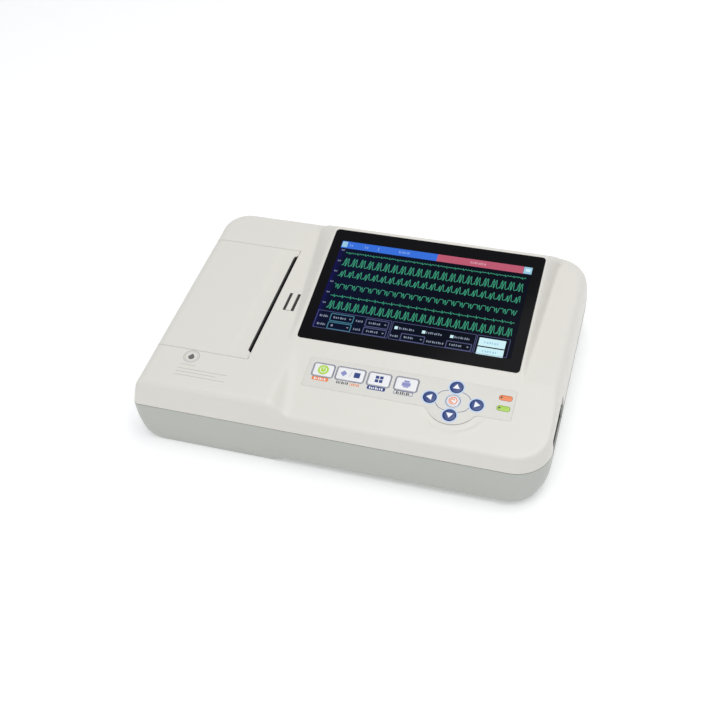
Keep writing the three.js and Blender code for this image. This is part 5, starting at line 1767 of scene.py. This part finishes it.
# ---------------------------------------------------------------- the print works
class ECG_OT_print_works(bpy.types.Operator):
    """Builds the platen's rubber sleeve and the roll of paper, which show with the cover open"""
    bl_idname = "ecg.print_works"
    bl_label = "Print works"

    def execute(self, context):
        low, high = node_box("platen_roller")
        centre = (low + high) / 2
        radius = (high[2] - low[2]) / 2
        profile = [(2.2, low[1]), (radius - 0.5, low[1]), (radius, low[1] + 0.5), (radius, high[1] - 0.5),
                   (radius - 0.5, high[1]), (2.2, high[1])]
        roller = turned(profile, (centre[0], 0, centre[2]), 1, 64)
        piece = store("platen_sleeve", *roller, "rubber", "platen", "rubber", 40)
        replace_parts(piece, "platen_roller")
        self.paper()
        return {"FINISHED"}

    def paper(self):
        """The roll of chart paper, its turns showing at the ends."""
        low, high = node_box("paper_roll")
        centre = (low + high) / 2
        radius = (high[2] - low[2]) / 2
        core_low, core_high = node_box("roll_core")
        core = (core_high[2] - core_low[2]) / 2 + 0.2
        steps = np.linspace(core, radius - 0.3, 22)
        left = [(r, low[1] + (0.12 if i % 2 else 0.0)) for i, r in enumerate(steps)]
        right = [(r, high[1] - (0.12 if i % 2 else 0.0)) for i, r in enumerate(steps)]
        profile = left + [(radius, low[1] + 0.3), (radius, high[1] - 0.3)] + right[::-1]
        points, faces = turned(profile + profile[:1], (centre[0], 0, centre[2]), 1, 72)
        without_ends = faces[:-2]
        roll = store("paper_roll_turns", points, without_ends, "paper", "roll", "chart_paper", 25)
        close_seam(roll)
        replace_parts(roll, "paper_roll")


def close_seam(obj):
    """Joins the first and last ring of a turned ring-shaped solid."""
    bm = bmesh.new()
    bm.from_mesh(obj.data)
    bmesh.ops.remove_doubles(bm, verts=bm.verts, dist=0.001 * MM)
    bmesh.ops.recalc_face_normals(bm, faces=bm.faces)
    bm.to_mesh(obj.data)
    bm.free()


# ---------------------------------------------------------------- sockets and underside
class ECG_OT_sockets(bpy.types.Operator):
    """Builds the lead connector's contacts, and the linings and contacts of the sockets at the back"""
    bl_idname = "ecg.sockets"
    bl_label = "Sockets"

    def execute(self, context):
        low, high = node_box("lead_connector")
        face_x, centre_y = high[0], (low[1] + high[1]) / 2
        profile = [(0.62, face_x - 0.5), (0.62, face_x + 0.12), (0.34, face_x + 0.15)]
        pins = []
        for count, z in ((8, SEAM_Z + 1.42), (7, SEAM_Z - 1.42)):
            for i in range(count):
                y = centre_y + (i - (count - 1) / 2) * 2.77
                pins.append(turned(profile, (0, y, z), 0, 16))
        store("lead_contacts", *merged(pins), "gold", "case", "connector_shell")
        self.rear_contacts()
        return {"FINISHED"}

    def rear_contacts(self):
        self.lining("network_socket", "network_lining", 1.6, 13)
        self.lining("usb_socket", "usb_lining", 1.3, 12)
        x_mid, _, _ = node_centre("network_socket")
        roof = node_box("network_socket")[1][2]
        places = [x_mid - 4.1 + 1.17 * i for i in range(8)]
        blades = [block(x - 0.22, x + 0.22, 93, 100, roof - 3.2, roof - 2.7) for x in places]
        store("network_contacts", *merged(blades), "gold", "case", "connector_shell")
        x_mid, _, _ = node_centre("usb_socket")
        roof = node_box("usb_socket")[1][2]
        tongue = block(x_mid - 5.4, x_mid + 5.4, 93.4, 103.4, roof - 4.1, roof - 2.4)
        store("usb_tongue", *tongue, "sleeve", "case", "connector_shell")
        places = [x_mid + d for d in (-3.5, -1.2, 1.2, 3.5)]
        blades = [block(x - 0.5, x + 0.5, 95, 102.6, roof - 4.25, roof - 4.05) for x in places]
        store("usb_contacts", *merged(blades), "gold", "case", "connector_shell")

    def lining(self, node, name, lip, depth):
        """Dark walls and a back plate inside a socket's shell, which is lip thick."""
        low, high = node_box(node)
        left, right, floor, roof = low[0] + lip, high[0] - lip, low[2] + lip, high[2] - lip
        back, front, thick = high[1] - depth, high[1] - 0.9, 0.35
        walls = [block(left, right, back, back + thick, floor, roof)]
        walls += [block(x, x + thick, back, front, floor, roof) for x in (left, right - thick)]
        walls += [block(left, right, back, front, z, z + thick) for z in (floor, roof - thick)]
        store(name, *merged(walls), "black", "case", "connector_shell")


class ECG_OT_underside(bpy.types.Operator):
    """Builds the four rubber feet"""
    bl_idname = "ecg.underside"
    bl_label = "Underside"

    def execute(self, context):
        for node in ("foot_front_left", "foot_front_right", "foot_back_left", "foot_back_right"):
            low, high = node_box(node)
            x, y, _ = (low + high) / 2
            top = high[2]
            profile = [(3.2, 0.9), (3.6, 0.5), (4.4, 0.06), (5.6, 0.0), (6.5, 0.25), (6.95, 0.9),
                       (7.0, top - 0.3), (6.8, top)]
            pad = turned(profile, (x, y, 0), 2, 48)
            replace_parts(store(f"{node}_pad", *pad, "rubber", "case", "rubber", 50), node)
        return {"FINISHED"}


# ---------------------------------------------------------------- the CAD nodes that stay
KEPT_FINISHES = {
    "lcd_module": "tin", "lcd_bracket": "steel", "keypad_board": "board", "main_board": "board",
    "power_board": "board", "speaker": "black", "mains_inlet": "black", "connector_bezel": "bezel",
    "lead_connector": "tin", "network_socket": "tin", "usb_socket": "tin", "earth_post": "brass",
    "battery_pack": "sleeve", "battery_cover": "grey", "battery_cover_screw": "steel",
    "print_head": "black", "head_spring_1": "steel", "head_spring_2": "steel", "head_pivot_rod": "steel",
    "paper_tray": "ivory_inner", "printer_frame": "steel", "tear_bar": "steel", "feed_motor": "steel",
    "motor_pinion": "brass", "idler_gear": "nylon", "platen_gear": "nylon", "platen_shaft": "steel",
    "roll_core": "nylon", "roll_spindle": "black", "door_hinge_pin": "steel", "latch_bar": "nylon",
}


class ECG_OT_inner_parts(bpy.types.Operator):
    """Gives every frame part that stays its own finish"""
    bl_idname = "ecg.inner_parts"
    bl_label = "Inner parts"

    def execute(self, context):
        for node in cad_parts:
            name = node if isinstance(node, str) else node["name"]
            key = KEPT_FINISHES.get(name) or ("steel" if name.startswith("housing_screw") else None)
            if key is None:
                continue
            obj = bpy.data.objects[name]
            if not obj.material_slots:
                obj.data.materials.append(None)
            for slot in obj.material_slots:
                slot.material = MATERIALS[key]
        return {"FINISHED"}


# ---------------------------------------------------------------- camera, lights and floor
CAMERA_PLACE = (0.2016, -0.5821, 0.6528)
CAMERA_RIGHT = (0.9579, 0.2804, -0.0616)
CAMERA_UP = (-0.1616, 0.7037, 0.6918)
CAMERA_BACK = (0.2374, -0.6527, 0.7194)


def add_light(name, size, power, place, target):
    data = bpy.data.lights.new(name, "AREA")
    data.shape = "RECTANGLE"
    data.size, data.size_y = size
    data.energy = power
    light = bpy.data.objects.new(name, data)
    bpy.context.scene.collection.objects.link(light)
    aim = Vector(target) - Vector(place)
    light.location = place
    light.rotation_euler = aim.to_track_quat("-Z", "Y").to_euler()


class ECG_OT_stage(bpy.types.Operator):
    """Sets up the camera, the floor and the studio lights"""
    bl_idname = "ecg.stage"
    bl_label = "Stage"

    def execute(self, context):
        stage = settings().ecg_stage
        scene = bpy.context.scene
        camera = bpy.data.objects.new("camera", bpy.data.cameras.new("camera"))
        scene.collection.objects.link(camera)
        turn = Matrix((CAMERA_RIGHT, CAMERA_UP, CAMERA_BACK)).transposed().to_4x4()
        camera.matrix_world = Matrix.Translation(CAMERA_PLACE) @ turn
        camera.data.sensor_width = 36
        camera.data.lens = stage.lens
        scene.camera = camera
        scene.view_settings.view_transform = "Standard"

        self.floor(tuple(stage.floor))
        power = stage.key_power
        add_light("key_light", (1.2, 1.0), power * 0.7, (0.36, 0.25, 1.3), (0, 0, 0.03))
        add_light("top_light", (1.6, 1.2), power * 1.15, (0.1, -0.3, 1.6), (0, 0, 0))
        add_light("front_light", (1.2, 0.5), power * 0.4, (-0.5, -1.4, 0.7), (0, 0, 0.03))
        world = bpy.data.worlds.new("studio")
        scene.world = world
        world.use_nodes = True
        shade_node = world.node_tree.nodes["Background"]
        shade_node.inputs["Color"].default_value = (0.95, 0.97, 1.0, 1)
        shade_node.inputs["Strength"].default_value = 0.5
        return {"FINISHED"}

    def floor(self, colour):
        """A pale floor with a soft curve up behind."""
        size = 4.0
        rings = []
        for x in (-size, size):
            ring = [(x, -size, 0.0)]
            ring += [(x, y, 0.0) for y in (-1.0, 0.0, 1.0, 2.0)]
            ring += [(x, 2.0 + 1.2 * math.sin(a), 1.2 * (1 - math.cos(a)))
                     for a in np.linspace(0.1, math.pi / 2, 10)]
            ring.append((x, 3.2, 4.0))
            rings.append(ring)
        count = len(rings[0])
        points = [p for ring in rings for p in ring]
        faces = [(i, count + i, count + i + 1, i + 1) for i in range(count - 1)]
        mesh = bpy.data.meshes.new("floor")
        mesh.from_pydata(points, [], faces)
        floor = bpy.data.objects.new("floor", mesh)
        bpy.context.scene.collection.objects.link(floor)
        mesh.shade_smooth()
        material, tree, shader, vector = base_material("Pale floor")
        cloud = noise(tree, vector, 3.0, 3.0)
        wired(tree, shader, Base_Color=mixed(tree, cloud, shade(colour, 0.995), shade(colour, 1.0)),
              Roughness=ranged(tree, cloud, 0.75, 0.85), Specular_IOR_Level=0.2,
              Emission_Color=(1, 1, 1, 1), Emission_Strength=0.16)
        mesh.materials.append(material)


# ---------------------------------------------------------------- panel and registration
OPERATORS = (
    ECG_OT_stage, ECG_OT_upper_case, ECG_OT_paper_cover, ECG_OT_release_button, ECG_OT_lower_case,
    ECG_OT_display, ECG_OT_keypad_film, ECG_OT_main_keys, ECG_OT_arrow_keys, ECG_OT_deck_marks,
    ECG_OT_print_works, ECG_OT_sockets, ECG_OT_underside, ECG_OT_inner_parts,
)
SETTINGS = {
    "ecg_case": ECG_PG_case, "ecg_display": ECG_PG_display, "ecg_keypad": ECG_PG_keypad,
    "ecg_stage": ECG_PG_stage,
}


class ECG_PT_sidebar(bpy.types.Panel):
    """Lists the machine's pieces and settings"""
    bl_idname = "ECG_PT_sidebar"
    bl_label = "Tabletop electrocardiograph"
    bl_space_type = "VIEW_3D"
    bl_region_type = "UI"
    bl_category = "Electrocardiograph"

    def draw(self, context):
        column = self.layout.column(align=True)
        for name in SETTINGS:
            group = getattr(context.scene, name)
            for key in group.bl_rna.properties.keys():
                if key not in {"rna_type", "name"}:
                    column.prop(group, key)
            column.separator()
        for operator in OPERATORS:
            column.operator(operator.bl_idname)


def register():
    for group in SETTINGS.values():
        bpy.utils.register_class(group)
    for name, group in SETTINGS.items():
        setattr(bpy.types.Scene, name, PointerProperty(type=group))
    for operator in OPERATORS:
        bpy.utils.register_class(operator)
    bpy.utils.register_class(ECG_PT_sidebar)


def unregister():
    bpy.utils.unregister_class(ECG_PT_sidebar)
    for operator in reversed(OPERATORS):
        bpy.utils.unregister_class(operator)
    for name, group in SETTINGS.items():
        delattr(bpy.types.Scene, name)
        bpy.utils.unregister_class(group)


def main():
    register()
    make_materials()
    for operator in OPERATORS:
        group, name = operator.bl_idname.split(".")
        getattr(getattr(bpy.ops, group), name)()


if __name__ == "__main__":
    main()
